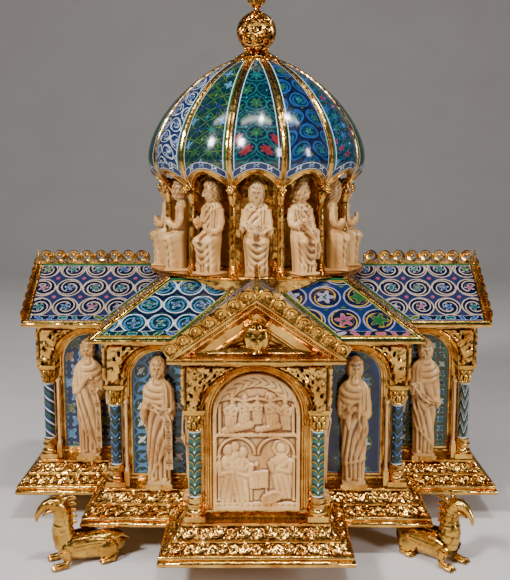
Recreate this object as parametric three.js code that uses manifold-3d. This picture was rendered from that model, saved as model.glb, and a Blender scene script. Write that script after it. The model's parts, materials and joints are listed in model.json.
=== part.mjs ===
// A domed reliquary casket of gilded copper, enamel and ivory on the plan of a cross.
// Lengths are millimetres and +Z is up. The origin is on the table, under the middle of the dome.
// The casket has four equal arms round a square block, so one side is made and turned four times.
import * as THREE from "three";
import { mergeVertices } from "three/addons/utils/BufferGeometryUtils.js";
import Module from "manifold-3d";

const wasm = await Module();
wasm.setup();

// The plan: from the centre lines to the axes of the corner columns
const armHalf = 44;
const blockHalf = 111;
const armReach = 179;

// How far each outline stands outside the line of the column axes
const footOffset = 26;
const platformOffset = 8;
const spandrelOffset = 6.5;
const eaveOffset = 17.5;
const nicheDepth = 12.5;

// Thicknesses and the gap kept where separate pieces meet
const wallThickness = 8;
const roofThickness = 8;
const shellThickness = 4;
const seatGap = 0.3;

// Heights, each from the piece below
const feetHeight = 24;
const plinthHeight = 26;
const columnHeight = 83;
const spandrelHeight = 32;
const corniceRise = 3;
const fasciaHeight = 3;
const roofPitch = 0.7;
const archMargin = 3;

// The corner columns
const columnFoot = 7.5;
const columnShaft = 4.4;
const columnAbacus = 8.2;
const columnBaseHeight = 17;
const capitalHeight = 16;

// Crests on the gables and ridges, and the gables' sunk triangles
const crestHeight = 10;
const ridgeCrestHeight = 13;
const crestThickness = 2;
const gableBorder = 5;
const gableBevel = 8;
const gableSink = 8;

// The drum under the dome
const bayCount = 13;
const drumPlateRadius = 96;
const drumPlateThickness = 3.5;
const drumBaseRadius = 89;
const drumWallRadius = 64;
const drumWallThickness = 6;
const drumWallHeight = 58;
const colonnetteCircle = 80;
const colonnetteRadius = 2.6;
const colonnetteHeight = 66.5;
const colonnetteCap = 4.2;

// The dome: its bulge, and the scallops between the feet of its ribs
const domeRadius = 94.5;
const domeUpperHeight = 85;
const domeLowerHeight = 55;
const domeFootDrop = 28;
const scallopRise = 15;
const ribGroove = 0.035;
const domeFullness = 1.65;
const domeTopRadius = 8;

// The finial
const finialSkirtRadius = 25;
const finialSkirtThickness = 1.5;
const stemRadius = 3;
const collarRadius = 6;
const ballRadius = 17;
const knobRadius = 8.6;
const finialHeight = 61.7;

// Ivories, bronze masks and feet
const prophetHeight = 101;
const prophetStep = 4;
const seatedHeight = 75;
const seatedCircle = 77;
const plaqueSideBorder = 8.9;
const plaqueTopBorder = 5;
const plaqueSill = 2;
const plaqueThickness = 5;
const plaqueRelief = 3;
const maskHeight = 20;
const griffinLength = 60;
const griffinHeight = 57;
const griffinNeckOut = 9;
const griffinFrontPaw = 17;
const griffinBackPaw = 15;
const griffinPawSpread = 9.5;
const griffinAnkle = 14;

// Levels that follow from the heights
const platformZ = feetHeight + plinthHeight;
const capitalZ = platformZ + columnHeight;
const wallTopZ = capitalZ + spandrelHeight;
const fasciaZ = wallTopZ + corniceRise;
const eaveZ = fasciaZ + fasciaHeight;
const gableHalf = armHalf + eaveOffset;
const ridgeZ = eaveZ + roofPitch * gableHalf;
const drumSeatZ = ridgeZ - drumPlateThickness;
const domeFootZ = ridgeZ + colonnetteHeight + seatGap;
const domeBulgeZ = domeFootZ + domeFootDrop;
const wallInset = nicheDepth - spandrelOffset;
const insideOffset = -wallInset - wallThickness;
const rakeAngle = Math.atan(roofPitch);

// The plaque fits in the end arch, a border clear of it at the sides and the top
const endArchHalf = armHalf - columnAbacus / 2;
const plaqueFootZ = platformZ + prophetStep + plaqueSill;
const plaqueHalf = endArchHalf - plaqueSideBorder;
const plaqueHeight = wallTopZ - archMargin - plaqueTopBorder - plaqueFootZ;
const quarterTurn = Math.PI / 2;

// Finishes, with the colours that the photograph shows
const gold = new THREE.MeshStandardMaterial({ color: 0xc98f3a, roughness: 0.3, metalness: 1 });
const ivory = new THREE.MeshStandardMaterial({ color: 0xe3bf8c, roughness: 0.5, metalness: 0 });
const enamel = new THREE.MeshStandardMaterial({ color: 0x2f5f8c, roughness: 0.15, metalness: 0 });
const enamelShaft = new THREE.MeshStandardMaterial({ color: 0x2c7a72, roughness: 0.2, metalness: 0.2 });

// Solids: three.js geometry in, manifold solid out, and back

function solid(geometry) {
  const bare = geometry.index ? geometry.toNonIndexed() : geometry.clone();
  bare.deleteAttribute("normal");
  bare.deleteAttribute("uv");
  const merged = mergeVertices(bare, 1e-3);
  const mesh = new wasm.Mesh({
    numProp: 3,
    vertProperties: new Float32Array(merged.attributes.position.array),
    triVerts: new Uint32Array(merged.index.array),
  });
  return new wasm.Manifold(mesh);
}

function geometryOf(manifold) {
  const mesh = manifold.getMesh();
  const geometry = new THREE.BufferGeometry();
  const positions = new Float32Array(mesh.numVert * 3);
  for (let i = 0; i < mesh.numVert; i++) {
    const start = i * mesh.numProp;
    positions.set(mesh.vertProperties.subarray(start, start + 3), i * 3);
  }
  geometry.setAttribute("position", new THREE.BufferAttribute(positions, 3));
  geometry.setIndex(new THREE.BufferAttribute(mesh.triVerts, 1));
  return geometry.toNonIndexed();
}

function namedMesh(name, geometry, material) {
  geometry.computeVertexNormals();
  const mesh = new THREE.Mesh(geometry, material);
  mesh.name = name;
  return mesh;
}

// A closed surface through rings of equal point counts, each anticlockwise when seen from its far end.
// The end rings are closed by the faces given, or by a fan where they are convex.
function loft(rings, endFaces) {
  const count = rings[0].length;
  const positions = rings.flat().flatMap((p) => [p.x, p.y, p.z]);
  const index = [];
  for (let r = 0; r + 1 < rings.length; r++) {
    for (let i = 0; i < count; i++) {
      const a = r * count + i;
      const b = r * count + ((i + 1) % count);
      index.push(a, b, b + count, a, b + count, a + count);
    }
  }
  const fan = Array.from({ length: count - 2 }, (_, i) => [0, i + 1, i + 2]);
  const last = (rings.length - 1) * count;
  for (const [a, b, c] of endFaces ?? fan) {
    index.push(a, c, b, last + a, last + b, last + c);
  }
  const geometry = new THREE.BufferGeometry();
  geometry.setAttribute("position", new THREE.Float32BufferAttribute(positions, 3));
  geometry.setIndex(index);
  return geometry;
}

function box(width, depth, height, x, y, z) {
  return new THREE.BoxGeometry(width, depth, height).translate(x, y, z + height / 2);
}

function uprightCylinder(radius, bottom, top, sides) {
  const geometry = new THREE.CylinderGeometry(radius, radius, top - bottom, sides);
  return geometry.rotateX(quarterTurn).translate(0, 0, (top + bottom) / 2);
}

// Extrudes an outline drawn in x and z along y, from near to far
function alongY(points, near, far) {
  const shape = new THREE.Shape(points.map(([x, z]) => new THREE.Vector2(x, z)));
  const geometry = new THREE.ExtrudeGeometry(shape, { depth: far - near, bevelEnabled: false });
  return geometry.rotateX(quarterTurn).translate(0, far, 0);
}

// The cross-shaped outline at an offset from the column axes, anticlockwise from above
function crossOutline(offset) {
  const a = armHalf + offset;
  const b = blockHalf + offset;
  const r = armReach + offset;
  const quarter = [[a, -r], [a, -b], [b, -b], [b, -a], [r, -a]];
  const turned = (turn) => quarter.map(([x, y]) => new THREE.Vector2(x, y).rotateAround(new THREE.Vector2(), turn));
  return [0, 1, 2, 3].flatMap((turn) => turned(turn * quarterTurn));
}

// Stacks cross outlines, given as [offset, height] from the bottom up
function crossStack(levels) {
  const rings = levels.map(([offset, z]) => crossOutline(offset).map((p) => new THREE.Vector3(p.x, p.y, z)));
  return loft(rings, THREE.ShapeUtils.triangulateShape(crossOutline(levels[0][0]), []));
}

// A ring of points round (x, y) at height z: round, or square where corners is set
function ring(x, y, z, halfWidth, halfDepth, sides, corners = false) {
  return Array.from({ length: sides }, (_, i) => {
    const angle = ((i + 0.5) / sides) * 2 * Math.PI;
    const reach = corners ? 1 / Math.max(Math.abs(Math.cos(angle)), Math.abs(Math.sin(angle))) : 1;
    return new THREE.Vector3(
      x + halfWidth * reach * Math.cos(angle),
      y + halfDepth * reach * Math.sin(angle),
      z,
    );
  });
}

// The bays of one side that face the front: the arm's end and two niches on each hand
function frontBays() {
  const clear = columnAbacus;
  const nicheBay = (from, to, reach) => {
    const inner = from + spandrelOffset;
    const outer = to - clear;
    return { x: (inner + outer) / 2, half: (outer - inner) / 2, reach };
  };
  const blockBay = nicheBay(armHalf, blockHalf, blockHalf);
  const armBay = nicheBay(blockHalf, armReach, armHalf);
  const mirrored = [blockBay, armBay].flatMap((bay) => [bay, { ...bay, x: -bay.x }]);
  return { end: { x: 0, half: endArchHalf, reach: armReach }, niches: mirrored };
}

// The stepped plinth: two sloping bands of ornament with a step between, over a rounded foot
function plinthGeometry() {
  const run = footOffset - platformOffset;
  const level = (inward, up) => [footOffset - run * inward, feetHeight + plinthHeight * up];
  return crossStack([
    level(0.1, 0),
    level(0, 0.09),
    level(0.1, 0.19),
    level(0.08, 0.33),
    level(0.16, 0.36),
    level(0.58, 0.6),
    level(0.58, 0.65),
    level(1, 0.95),
    level(1, 1),
  ]);
}

// The walls: plain below the capitals, with arched spandrels above, and hollow from floor to roof
function wallsGeometry() {
  const lower = solid(crossStack([[-wallInset, platformZ + seatGap], [-wallInset, capitalZ]]));
  const upper = solid(crossStack([[spandrelOffset, capitalZ], [spandrelOffset, wallTopZ]]));
  const inside = solid(crossStack([[insideOffset, platformZ], [insideOffset, wallTopZ + 1]]));
  const arches = [];
  const { end, niches } = frontBays();
  for (const bay of [end, ...niches]) {
    const arch = new THREE.CylinderGeometry(bay.half, bay.half, nicheDepth * 2, 12);
    arch.translate(bay.x, -(bay.reach + spandrelOffset), wallTopZ - archMargin - bay.half);
    arches.push(solid(arch));
  }
  let walls = lower.add(upper);
  for (let turn = 0; turn < 4; turn++) {
    for (const arch of arches) walls = walls.subtract(arch.rotate([0, 0, turn * 90]));
  }
  return geometryOf(walls.subtract(inside));
}

// A corner column: square foot, enamelled shaft and leafy capital under a square abacus
function columnGeometry() {
  const top = columnHeight - seatGap;
  const neck = top - capitalHeight;
  const sides = 8;
  const level = (z, half, corners) => ring(0, 0, z, half, half, sides, corners);
  return loft([
    level(seatGap, columnFoot, true),
    level(columnBaseHeight * 0.3, columnFoot, true),
    level(columnBaseHeight, columnShaft),
    level(neck, columnShaft),
    level(top - capitalHeight * 0.2, columnAbacus * 0.95, true),
    level(top, columnAbacus * 0.95, true),
  ]);
}

// The cross-section of an arm's roof, with its cornice; inside is the same roof less its thickness
function armRoofProfile() {
  const wall = armHalf + spandrelOffset;
  return [
    [-wall, wallTopZ + seatGap], [wall, wallTopZ + seatGap],
    [gableHalf, fasciaZ], [gableHalf, eaveZ],
    [0, ridgeZ],
    [-gableHalf, eaveZ], [-gableHalf, fasciaZ],
  ];
}

function roofHeightInside(half, eaveHalf) {
  return eaveZ + roofPitch * (eaveHalf - half) - roofThickness;
}

function armRoofInside() {
  const half = armHalf + insideOffset;
  const side = roofHeightInside(half, gableHalf);
  return [[-half, wallTopZ], [half, wallTopZ], [half, side], [0, ridgeZ - roofThickness], [-half, side]];
}

// Squares of half width and height, from the bottom up, make the block's roof outside and inside
function squareStack(levels) {
  return loft(levels.map(([half, z]) => ring(0, 0, z, half, half, 4, true)));
}

function blockRoof() {
  const eave = blockHalf + eaveOffset;
  return squareStack([
    [blockHalf + spandrelOffset, wallTopZ + seatGap],
    [eave, fasciaZ],
    [eave, eaveZ],
    [blockHalf - armHalf, ridgeZ],
  ]);
}

function blockRoofInside() {
  const half = blockHalf + insideOffset;
  const eave = blockHalf + eaveOffset;
  return squareStack([
    [half, wallTopZ],
    [half, roofHeightInside(half, eave)],
    [blockHalf - armHalf, ridgeZ - roofThickness],
  ]);
}

// A gable's sunk triangle, whose sides slope in to the flat where the mask hangs
function gableSinkGeometry() {
  const front = -(armReach + eaveOffset);
  const triangle = (inset, y) => {
    const base = eaveZ + inset * 0.5;
    const half = gableHalf - inset / Math.tan(rakeAngle / 2);
    return [
      new THREE.Vector3(-half, y, base),
      new THREE.Vector3(half, y, base),
      new THREE.Vector3(0, y, base + roofPitch * half),
    ];
  };
  const step = gableBevel / gableSink;
  return loft([
    triangle(gableBorder + gableBevel * 0.5, front + gableSink),
    triangle(gableBorder - step * 0.5, front - 1),
  ]);
}

// Openwork crests, here as plain strips: one up each gable and one along each ridge
function crestGeometries() {
  const front = -(armReach + eaveOffset);
  const outX = gableHalf + crestHeight * Math.sin(rakeAngle);
  const outZ = eaveZ + crestHeight * Math.cos(rakeAngle);
  const peak = ridgeZ + crestHeight / Math.cos(rakeAngle);
  const foot = 1;
  const gable = alongY(
    [
      [-gableHalf, eaveZ - foot], [0, ridgeZ - foot], [gableHalf, eaveZ - foot],
      [outX, outZ], [0, peak], [-outX, outZ],
    ],
    front,
    front + crestThickness,
  );
  const length = armReach + eaveOffset - drumBaseRadius;
  const ridge = box(
    crestThickness, length, ridgeCrestHeight + crestThickness,
    0, -(drumBaseRadius + length / 2), ridgeZ - crestThickness,
  );
  return [gable, ridge];
}

// The roof: two crossed gables and a pyramid, the drum's round base, and an open eye under the drum
function roofGeometry() {
  const front = armReach + eaveOffset;
  const gables = solid(alongY(armRoofProfile(), -front, front));
  const hollow = solid(alongY(armRoofInside(), -armReach - insideOffset, armReach + insideOffset));
  const eyeRadius = drumWallRadius - drumWallThickness;
  let roof = gables
    .add(gables.rotate([0, 0, 90]))
    .add(solid(blockRoof()))
    .add(solid(uprightCylinder(drumBaseRadius, eaveZ, drumSeatZ, bayCount * 2)));
  const crests = crestGeometries().map(solid);
  const sink = solid(gableSinkGeometry());
  for (let turn = 0; turn < 4; turn++) {
    const angle = [0, 0, turn * 90];
    roof = roof.subtract(sink.rotate(angle));
    for (const crest of crests) roof = roof.add(crest.rotate(angle));
  }
  return geometryOf(
    roof
      .subtract(hollow)
      .subtract(hollow.rotate([0, 0, 90]))
      .subtract(solid(blockRoofInside()))
      .subtract(solid(uprightCylinder(eyeRadius, wallTopZ, ridgeZ + 1, bayCount * 2)))
      .subtract(solid(uprightCylinder(
        drumPlateRadius + seatGap, drumSeatZ - seatGap, ridgeZ + ridgeCrestHeight + 1, bayCount * 2,
      ))),
  );
}

// The drum: a round plate, a ring wall behind the seated figures, and a colonnette between each two
function drumGeometry() {
  const sides = bayCount * 2;
  const inner = drumWallRadius - drumWallThickness;
  const plate = solid(uprightCylinder(drumPlateRadius, drumSeatZ, ridgeZ, sides));
  const wall = solid(uprightCylinder(drumWallRadius, ridgeZ, ridgeZ + drumWallHeight, sides));
  let drum = plate.add(wall);
  const levels = [
    [0, colonnetteCap], [3, colonnetteRadius],
    [colonnetteHeight - 7, colonnetteRadius], [colonnetteHeight, colonnetteCap],
  ];
  for (let i = 0; i < bayCount; i++) {
    const angle = ((i + 0.5) / bayCount) * 2 * Math.PI;
    const x = colonnetteCircle * Math.sin(angle);
    const y = -colonnetteCircle * Math.cos(angle);
    drum = drum.add(solid(loft(levels.map(([z, r]) => ring(x, y, ridgeZ + z, r, r, 4)))));
  }
  return geometryOf(drum.subtract(solid(uprightCylinder(inner, drumSeatZ - 1, domeBulgeZ, sides))));
}

// The dome's outline: how far from the axis its bulge stands at a height
function domeProfile(z) {
  const rise = z - domeBulgeZ;
  if (rise < 0) return domeRadius * Math.sqrt(1 - (rise / domeLowerHeight) ** 2);
  return domeRadius * (1 - (rise / domeUpperHeight) ** domeFullness) ** (1 / domeFullness);
}

// The height at which the bulge stands at a distance from the axis, above its widest
function domeHeightAt(radius) {
  return domeBulgeZ + domeUpperHeight * (1 - (radius / domeRadius) ** domeFullness) ** (1 / domeFullness);
}

// The dome: gores that swell between grooves, over scallops that rise between the colonnettes
function domeRings(inset, steps, sidesPerGore) {
  const sides = bayCount * sidesPerGore;
  const top = domeHeightAt(domeTopRadius);
  return steps.map((share) =>
    Array.from({ length: sides }, (_, i) => {
      const across = (i % sidesPerGore) / sidesPerGore;
      const swell = Math.sin(Math.PI * across);
      const foot = domeFootZ + scallopRise * swell;
      const z = foot + (top - foot) * share;
      const radius = domeProfile(z) * (1 - ribGroove * (1 - swell)) - inset;
      const angle = ((i / sidesPerGore + 0.5) / bayCount) * 2 * Math.PI - quarterTurn;
      return new THREE.Vector3(radius * Math.cos(angle), radius * Math.sin(angle), z - inset * share);
    }),
  );
}

// A hollow shell, open below: down its inside from the crown, then up its outside
function domeGeometry() {
  const inside = domeRings(shellThickness, [1, 0.8, 0.45, 0], 4);
  const outside = domeRings(0, [0, 0.18, 0.42, 0.7, 0.9, 1], 4);
  return loft([...inside, ...outside]).toNonIndexed();
}

// The finial: a skirt that lies on the dome, a stem with a collar, a large ball and a small knob
function finialGeometry() {
  const skirt = [];
  const steps = 4;
  for (let i = 0; i <= steps; i++) {
    const radius = (finialSkirtRadius * i) / steps;
    skirt.push([radius, domeHeightAt(Math.max(radius, domeTopRadius)) + seatGap]);
  }
  const skirtZ = skirt[0][1];
  const top = skirtZ + finialHeight;
  const knobZ = top - knobRadius * 1.35;
  const ballZ = knobZ - knobRadius - ballRadius - stemRadius;
  const profile = [...skirt];
  profile.push([finialSkirtRadius, skirt[steps][1] + finialSkirtThickness]);
  profile.push([finialSkirtRadius * 0.5, skirt[2][1] + finialSkirtThickness]);
  profile.push([stemRadius, skirtZ + (ballZ - ballRadius - skirtZ) * 0.5]);
  profile.push([collarRadius, skirtZ + (ballZ - ballRadius - skirtZ) * 0.75]);
  const arc = (radius, centre, count) => {
    for (let i = 0; i <= count; i++) {
      const angle = -0.8 * quarterTurn + (1.6 * quarterTurn * i) / count;
      profile.push([radius * Math.cos(angle), centre + radius * Math.sin(angle)]);
    }
  };
  arc(ballRadius, ballZ, 4);
  arc(knobRadius, knobZ, 3);
  profile.push([0, top]);
  const points = profile.map(([radius, z]) => new THREE.Vector2(radius, z));
  const geometry = new THREE.LatheGeometry(points, bayCount).rotateX(quarterTurn);
  return geometryOf(solid(geometry));
}

// A draped figure as rings up its height, in shares of that height: [z, half width, half depth, x, y]
function drapedBody(height, rows, folds) {
  const sides = 6;
  return loft(rows.map(([z, w, d, x = 0, y = 0], row) =>
    ring(x * height, y * height, z * height, w * height, d * height, sides).map((p, i) => {
      const fold = 1 + folds * (row < rows.length / 2 ? 1 : 0) * (i % 2 ? 1 : -1);
      return new THREE.Vector3(x * height + (p.x - x * height) * fold, p.y, p.z);
    }),
  ));
}

// Poses of the standing prophets, in shares of their height: lean, the hand's height and the scroll's side
const prophetPoses = [
  { sway: 0.012, hand: 0.56, scroll: 1, hat: 0.004 },
  { sway: -0.01, hand: 0.6, scroll: -1, hat: 0.012 },
  { sway: 0.015, hand: 0.63, scroll: -1, hat: 0 },
  { sway: -0.012, hand: 0.55, scroll: 1, hat: 0.006 },
];

function prophetGeometry(pose) {
  const h = prophetHeight;
  const s = pose.sway;
  const body = drapedBody(h, [
    [0, 0.088, 0.052],
    [0.3, 0.098, 0.056, s],
    [0.68, 0.124, 0.068, s * 0.5],
    [0.79, 0.092, 0.052],
    [0.82, 0.045, 0.04, 0, -0.006],
    [0.9, 0.062, 0.06, 0, -0.01],
    [1, 0.042 + pose.hat, 0.04, 0, -0.004],
  ], 0.06);
  const scroll = box(0.05 * h, 0.04 * h, 0.42 * h, pose.scroll * 0.07 * h, -0.062 * h, (pose.hand - 0.4) * h);
  return geometryOf(solid(body).add(solid(scroll)));
}

// The seated figures: a wide lap with knees forward, an upright trunk and a bowed head
function seatedGeometry(lean) {
  const h = seatedHeight;
  return drapedBody(h, [
    [0, 0.13, 0.12, 0, -0.03],
    [0.34, 0.15, 0.135, lean, -0.055],
    [0.45, 0.15, 0.1, lean, 0],
    [0.7, 0.155, 0.075, 0, 0.03],
    [0.79, 0.055, 0.05, 0, 0.02],
    [0.9, 0.085, 0.082, -lean, 0.01],
    [1, 0.045, 0.045, -lean, 0.02],
  ], 0.05).toNonIndexed();
}

// An arched ivory plaque with two arched fields below, one field above, and figures in relief
function plaqueGeometry() {
  const arched = (half, bottom, top, segments) => {
    const points = [[half, bottom]];
    for (let i = 0; i <= segments; i++) {
      const angle = (Math.PI * i) / segments;
      points.push([half * Math.cos(angle), top - half + half * Math.sin(angle)]);
    }
    points.push([-half, bottom]);
    return points;
  };
  const moved = (points, x) => points.map(([px, z]) => [px + x, z]);
  let plaque = solid(alongY(arched(plaqueHalf, 0, plaqueHeight, 8), -plaqueThickness, 0));
  const fieldHalf = plaqueHalf * 0.4;
  const field = (points) => solid(alongY(points, -plaqueThickness - 1, plaqueRelief - plaqueThickness));
  const low = plaqueHeight * 0.05;
  const middle = plaqueHeight * 0.56;
  for (const side of [-1, 1]) {
    plaque = plaque.subtract(field(moved(arched(fieldHalf, low, middle - 3, 4), side * plaqueHalf * 0.44)));
  }
  plaque = plaque.subtract(field(arched(plaqueHalf * 0.84, middle, plaqueHeight * 0.96, 6)));
  const figure = (x, z, height, lean) => {
    const y = plaqueRelief * 0.5 - plaqueThickness;
    const level = (share, half, depth, shift) =>
      ring(x + shift * height, y, z + share * height, half * height, depth * height, 4);
    return solid(loft([
      level(0, 0.16, 0.07, 0),
      level(0.7, 0.19, 0.08, lean),
      level(1, 0.07, 0.05, lean),
    ]));
  };
  const lowHeight = plaqueHeight * 0.38;
  const highHeight = plaqueHeight * 0.27;
  const pieces = [
    figure(-plaqueHalf * 0.44, low - 1, lowHeight, 0.02),
    figure(plaqueHalf * 0.5, low - 1, lowHeight, -0.06),
    figure(-plaqueHalf * 0.4, middle - 1, highHeight, 0.1),
    figure(plaqueHalf * 0.4, middle - 1, highHeight, -0.1),
  ];
  for (const piece of pieces) plaque = plaque.add(piece);
  return geometryOf(plaque);
}

// A bearded mask, flat behind, that hangs in a gable
function maskGeometry() {
  const h = maskHeight;
  const rows = [[0, 0.16], [0.25, 0.32], [0.6, 0.4], [0.85, 0.4], [1, 0.2]];
  return loft(rows.map(([z, half]) => ring(0, 0, z * h, half * h, half * h, 6)));
}

// A griffin that lies under a corner. It faces +X, and its neck stands over the origin.
function griffinGeometry() {
  const length = griffinLength;
  const height = griffinHeight;
  const back = feetHeight - seatGap;
  const sides = 6;
  const flat = Math.cos(Math.PI / sides);
  // Along the back, up the neck and out to the beak: forward share, height, half width, half thickness
  const spine = [
    [-0.78, back * 0.45, 4, 6],
    [-0.55, back * 0.5, 9.5, (back * 0.48) / flat],
    [-0.24, back * 0.5, 9.5, (back * 0.46) / flat],
    [0.04, height * 0.4, 8.5, 8.5],
    [0.01, height * 0.62, 6.4, 7],
    [0.04, height * 0.84, 6.6, 7.5],
    [0.18, height * 0.87, 4.8, 5.6],
    [0.31, height * 0.79, 2.6, 3],
    [0.37, height * 0.64, 0.9, 1],
  ];
  const centres = spine.map(([x, z]) => new THREE.Vector3(x * length, 0, z));
  const across = new THREE.Vector3(0, 1, 0);
  const rings = spine.map(([, , halfWidth, halfThick], i) => {
    const ahead = centres[Math.min(i + 1, spine.length - 1)];
    const behind = centres[Math.max(i - 1, 0)];
    const up = ahead.clone().sub(behind).normalize().cross(across);
    return Array.from({ length: sides }, (_, k) => {
      const angle = (k / sides) * 2 * Math.PI;
      return centres[i]
        .clone()
        .addScaledVector(across, halfWidth * Math.cos(angle))
        .addScaledVector(up, halfThick * Math.sin(angle));
    });
  });
  const paw = (x, side, long) => {
    const y = side * griffinPawSpread;
    return loft([
      ring(x, y, 0, long / 2, 4.4, 5),
      ring(x, y, 4.5, long / 2, 3.8, 5),
      ring(x - long * 0.2, y * 0.7, griffinAnkle, 4.5, 3.6, 5),
    ]);
  };
  const crest = alongY(
    [[-0.15 * length, height * 0.46], [0, height * 0.5], [0.02 * length, height * 0.98], [-0.13 * length, height * 0.86]],
    -1.5,
    1.5,
  );
  let griffin = solid(loft(rings)).add(solid(crest));
  for (const side of [-1, 1]) {
    griffin = griffin.add(solid(paw(0.06 * length, side, griffinFrontPaw)));
    griffin = griffin.add(solid(paw(-0.56 * length, side, griffinBackPaw)));
  }
  return geometryOf(griffin);
}

// How far each griffin turns from its diagonal, in degrees: no two lie quite alike
const griffinTurns = { front_right: 0, back_right: 8, back_left: -6, front_left: -24 };

// Puts the pieces together
const casket = new THREE.Group();
casket.add(namedMesh("plinth", plinthGeometry(), gold));
casket.add(namedMesh("walls", wallsGeometry(), gold));
casket.add(namedMesh("roof", roofGeometry(), gold));
casket.add(namedMesh("drum", drumGeometry(), gold));
casket.add(namedMesh("dome", domeGeometry(), enamel));
casket.add(namedMesh("finial", finialGeometry(), gold));

const sideNames = ["front", "right", "back", "left"];
const { end, niches } = frontBays();
sideNames.forEach((sideName, turn) => {
  const side = new THREE.Group();
  side.rotation.z = turn * quarterTurn;
  casket.add(side);

  niches.forEach((bay, i) => {
    const prophet = namedMesh(`prophet_${sideName}_${i + 1}`, prophetGeometry(prophetPoses[i]), ivory);
    const standOff = prophetHeight * 0.08;
    prophet.position.set(bay.x, -(bay.reach - wallInset + standOff), platformZ + prophetStep);
    side.add(prophet);
  });

  const plaque = namedMesh(`plaque_${sideName}`, plaqueGeometry(), ivory);
  plaque.position.set(end.x, -(armReach - wallInset + seatGap), plaqueFootZ);
  side.add(plaque);

  const mask = namedMesh(`mask_${sideName}`, maskGeometry(), gold);
  const tympanum = -(armReach + eaveOffset - gableSink);
  mask.position.set(0, tympanum - maskHeight * 0.4 - seatGap, eaveZ + (gableBorder + gableBevel / 2) / 2 + seatGap);
  side.add(mask);

  const places = [[-armHalf, -armReach, "left"], [armHalf, -armReach, "right"], [blockHalf, -blockHalf, "corner"]];
  for (const [x, y, place] of places) {
    const column = namedMesh(`column_${sideName}_${place}`, columnGeometry(), enamelShaft);
    column.position.set(x, y, platformZ);
    side.add(column);
  }
});

const griffinCorner = blockHalf + footOffset + griffinNeckOut;
Object.entries(griffinTurns).forEach(([place, degrees], i) => {
  const corner = new THREE.Group();
  corner.rotation.z = (i - 0.5) * quarterTurn;
  const griffin = namedMesh(`griffin_${place}`, griffinGeometry(), gold);
  griffin.position.x = griffinCorner * Math.SQRT2;
  griffin.rotation.z = THREE.MathUtils.degToRad(degrees);
  corner.add(griffin);
  casket.add(corner);
});

for (let i = 0; i < bayCount; i++) {
  const angle = (i / bayCount) * 2 * Math.PI;
  const lean = 0.012 * Math.sin(i * 2.4);
  const seated = namedMesh(`seated_figure_${i + 1}`, seatedGeometry(lean), ivory);
  seated.rotation.z = angle;
  seated.position.set(seatedCircle * Math.sin(angle), -seatedCircle * Math.cos(angle), ridgeZ + seatGap);
  casket.add(seated);
}

export default casket;
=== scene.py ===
import json
import bpy
import numpy as np
from numpy import (arange, arctan2, array, asarray, clip, concatenate, cos, cross, cumsum, diff, exp, floor, full,
                   hypot, interp, linspace, maximum, minimum, mod, ones, pi, roll, sin, sqrt, stack, vstack, where,
                   zeros)
from numpy.linalg import norm
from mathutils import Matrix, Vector

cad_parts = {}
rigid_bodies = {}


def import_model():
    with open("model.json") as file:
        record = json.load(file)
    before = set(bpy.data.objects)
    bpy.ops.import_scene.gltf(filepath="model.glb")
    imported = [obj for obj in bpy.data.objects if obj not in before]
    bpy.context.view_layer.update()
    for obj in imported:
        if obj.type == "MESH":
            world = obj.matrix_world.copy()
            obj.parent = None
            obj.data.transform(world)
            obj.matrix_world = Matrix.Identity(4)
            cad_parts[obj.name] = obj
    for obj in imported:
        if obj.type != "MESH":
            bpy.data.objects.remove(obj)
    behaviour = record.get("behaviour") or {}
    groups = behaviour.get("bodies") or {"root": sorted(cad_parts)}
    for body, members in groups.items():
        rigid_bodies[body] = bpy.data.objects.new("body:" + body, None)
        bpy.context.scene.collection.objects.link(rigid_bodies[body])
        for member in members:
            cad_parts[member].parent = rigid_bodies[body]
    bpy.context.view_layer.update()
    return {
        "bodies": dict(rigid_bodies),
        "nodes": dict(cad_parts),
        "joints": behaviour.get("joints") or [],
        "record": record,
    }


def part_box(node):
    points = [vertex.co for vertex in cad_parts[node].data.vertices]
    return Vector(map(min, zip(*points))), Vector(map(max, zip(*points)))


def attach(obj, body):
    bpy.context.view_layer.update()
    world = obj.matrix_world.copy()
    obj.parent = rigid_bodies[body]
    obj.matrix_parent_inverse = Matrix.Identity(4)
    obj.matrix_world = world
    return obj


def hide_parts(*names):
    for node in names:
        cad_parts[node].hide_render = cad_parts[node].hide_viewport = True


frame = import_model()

# Domed reliquary casket: gilded copper, champlevé enamel and walrus ivory. Lengths are millimetres.
mm = 0.001
tau = 2 * pi


def nodeBox(name):
    low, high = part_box(name)
    return array(low) / mm, array(high) / mm


plinthLow, plinthHigh = nodeBox("plinth")
drumLow, drumHigh = nodeBox("drum")
domeLow = nodeBox("dome")[0]
wallsHigh, roofHigh, finialHigh = (nodeBox(name)[1] for name in ("walls", "roof", "finial"))
columnLow, columnHigh = nodeBox("column_front_right")
plaqueLow, plaqueHigh = nodeBox("plaque_front")

# The plan: an outline of twenty corners, moved out or in by an offset
plan = {
    "armHalf": (columnLow[0] + columnHigh[0]) / 2,
    "blockHalf": 111,
    "armReach": -(columnLow[1] + columnHigh[1]) / 2,
    "wallInset": 6,
    "spandrelOut": 6.5,
    "eaveOut": 17.5,
    "roofPitch": 0.7,
}
armHalf, blockHalf, armReach, wallInset, spandrelOut, eaveOut, roofPitch = plan.values()
sideNames = ("front", "right", "back", "left")
platformZ = plinthHigh[2]
capitalZ = columnHigh[2]
wallTopZ = wallsHigh[2]
eaveZ = wallTopZ + 6
gableHalf = armHalf + eaveOut
ridgeZ = eaveZ + roofPitch * gableHalf
gableY = armReach + eaveOut


# Mesh helpers: a surface is a grid of points, computed as whole arrays

# Quads between neighbouring points of a rows x cols grid; wrap joins the last column to the first
def gridFaces(rows, cols, wrap=False):
    r, c = np.meshgrid(arange(rows - 1), arange(cols if wrap else cols - 1), indexing="ij")
    n = (c + 1) % cols
    return stack([r * cols + c, r * cols + n, (r + 1) * cols + n, (r + 1) * cols + c], -1).reshape(-1, 4)


def clamp(x):
    return clip(x, 0, 1)


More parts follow.
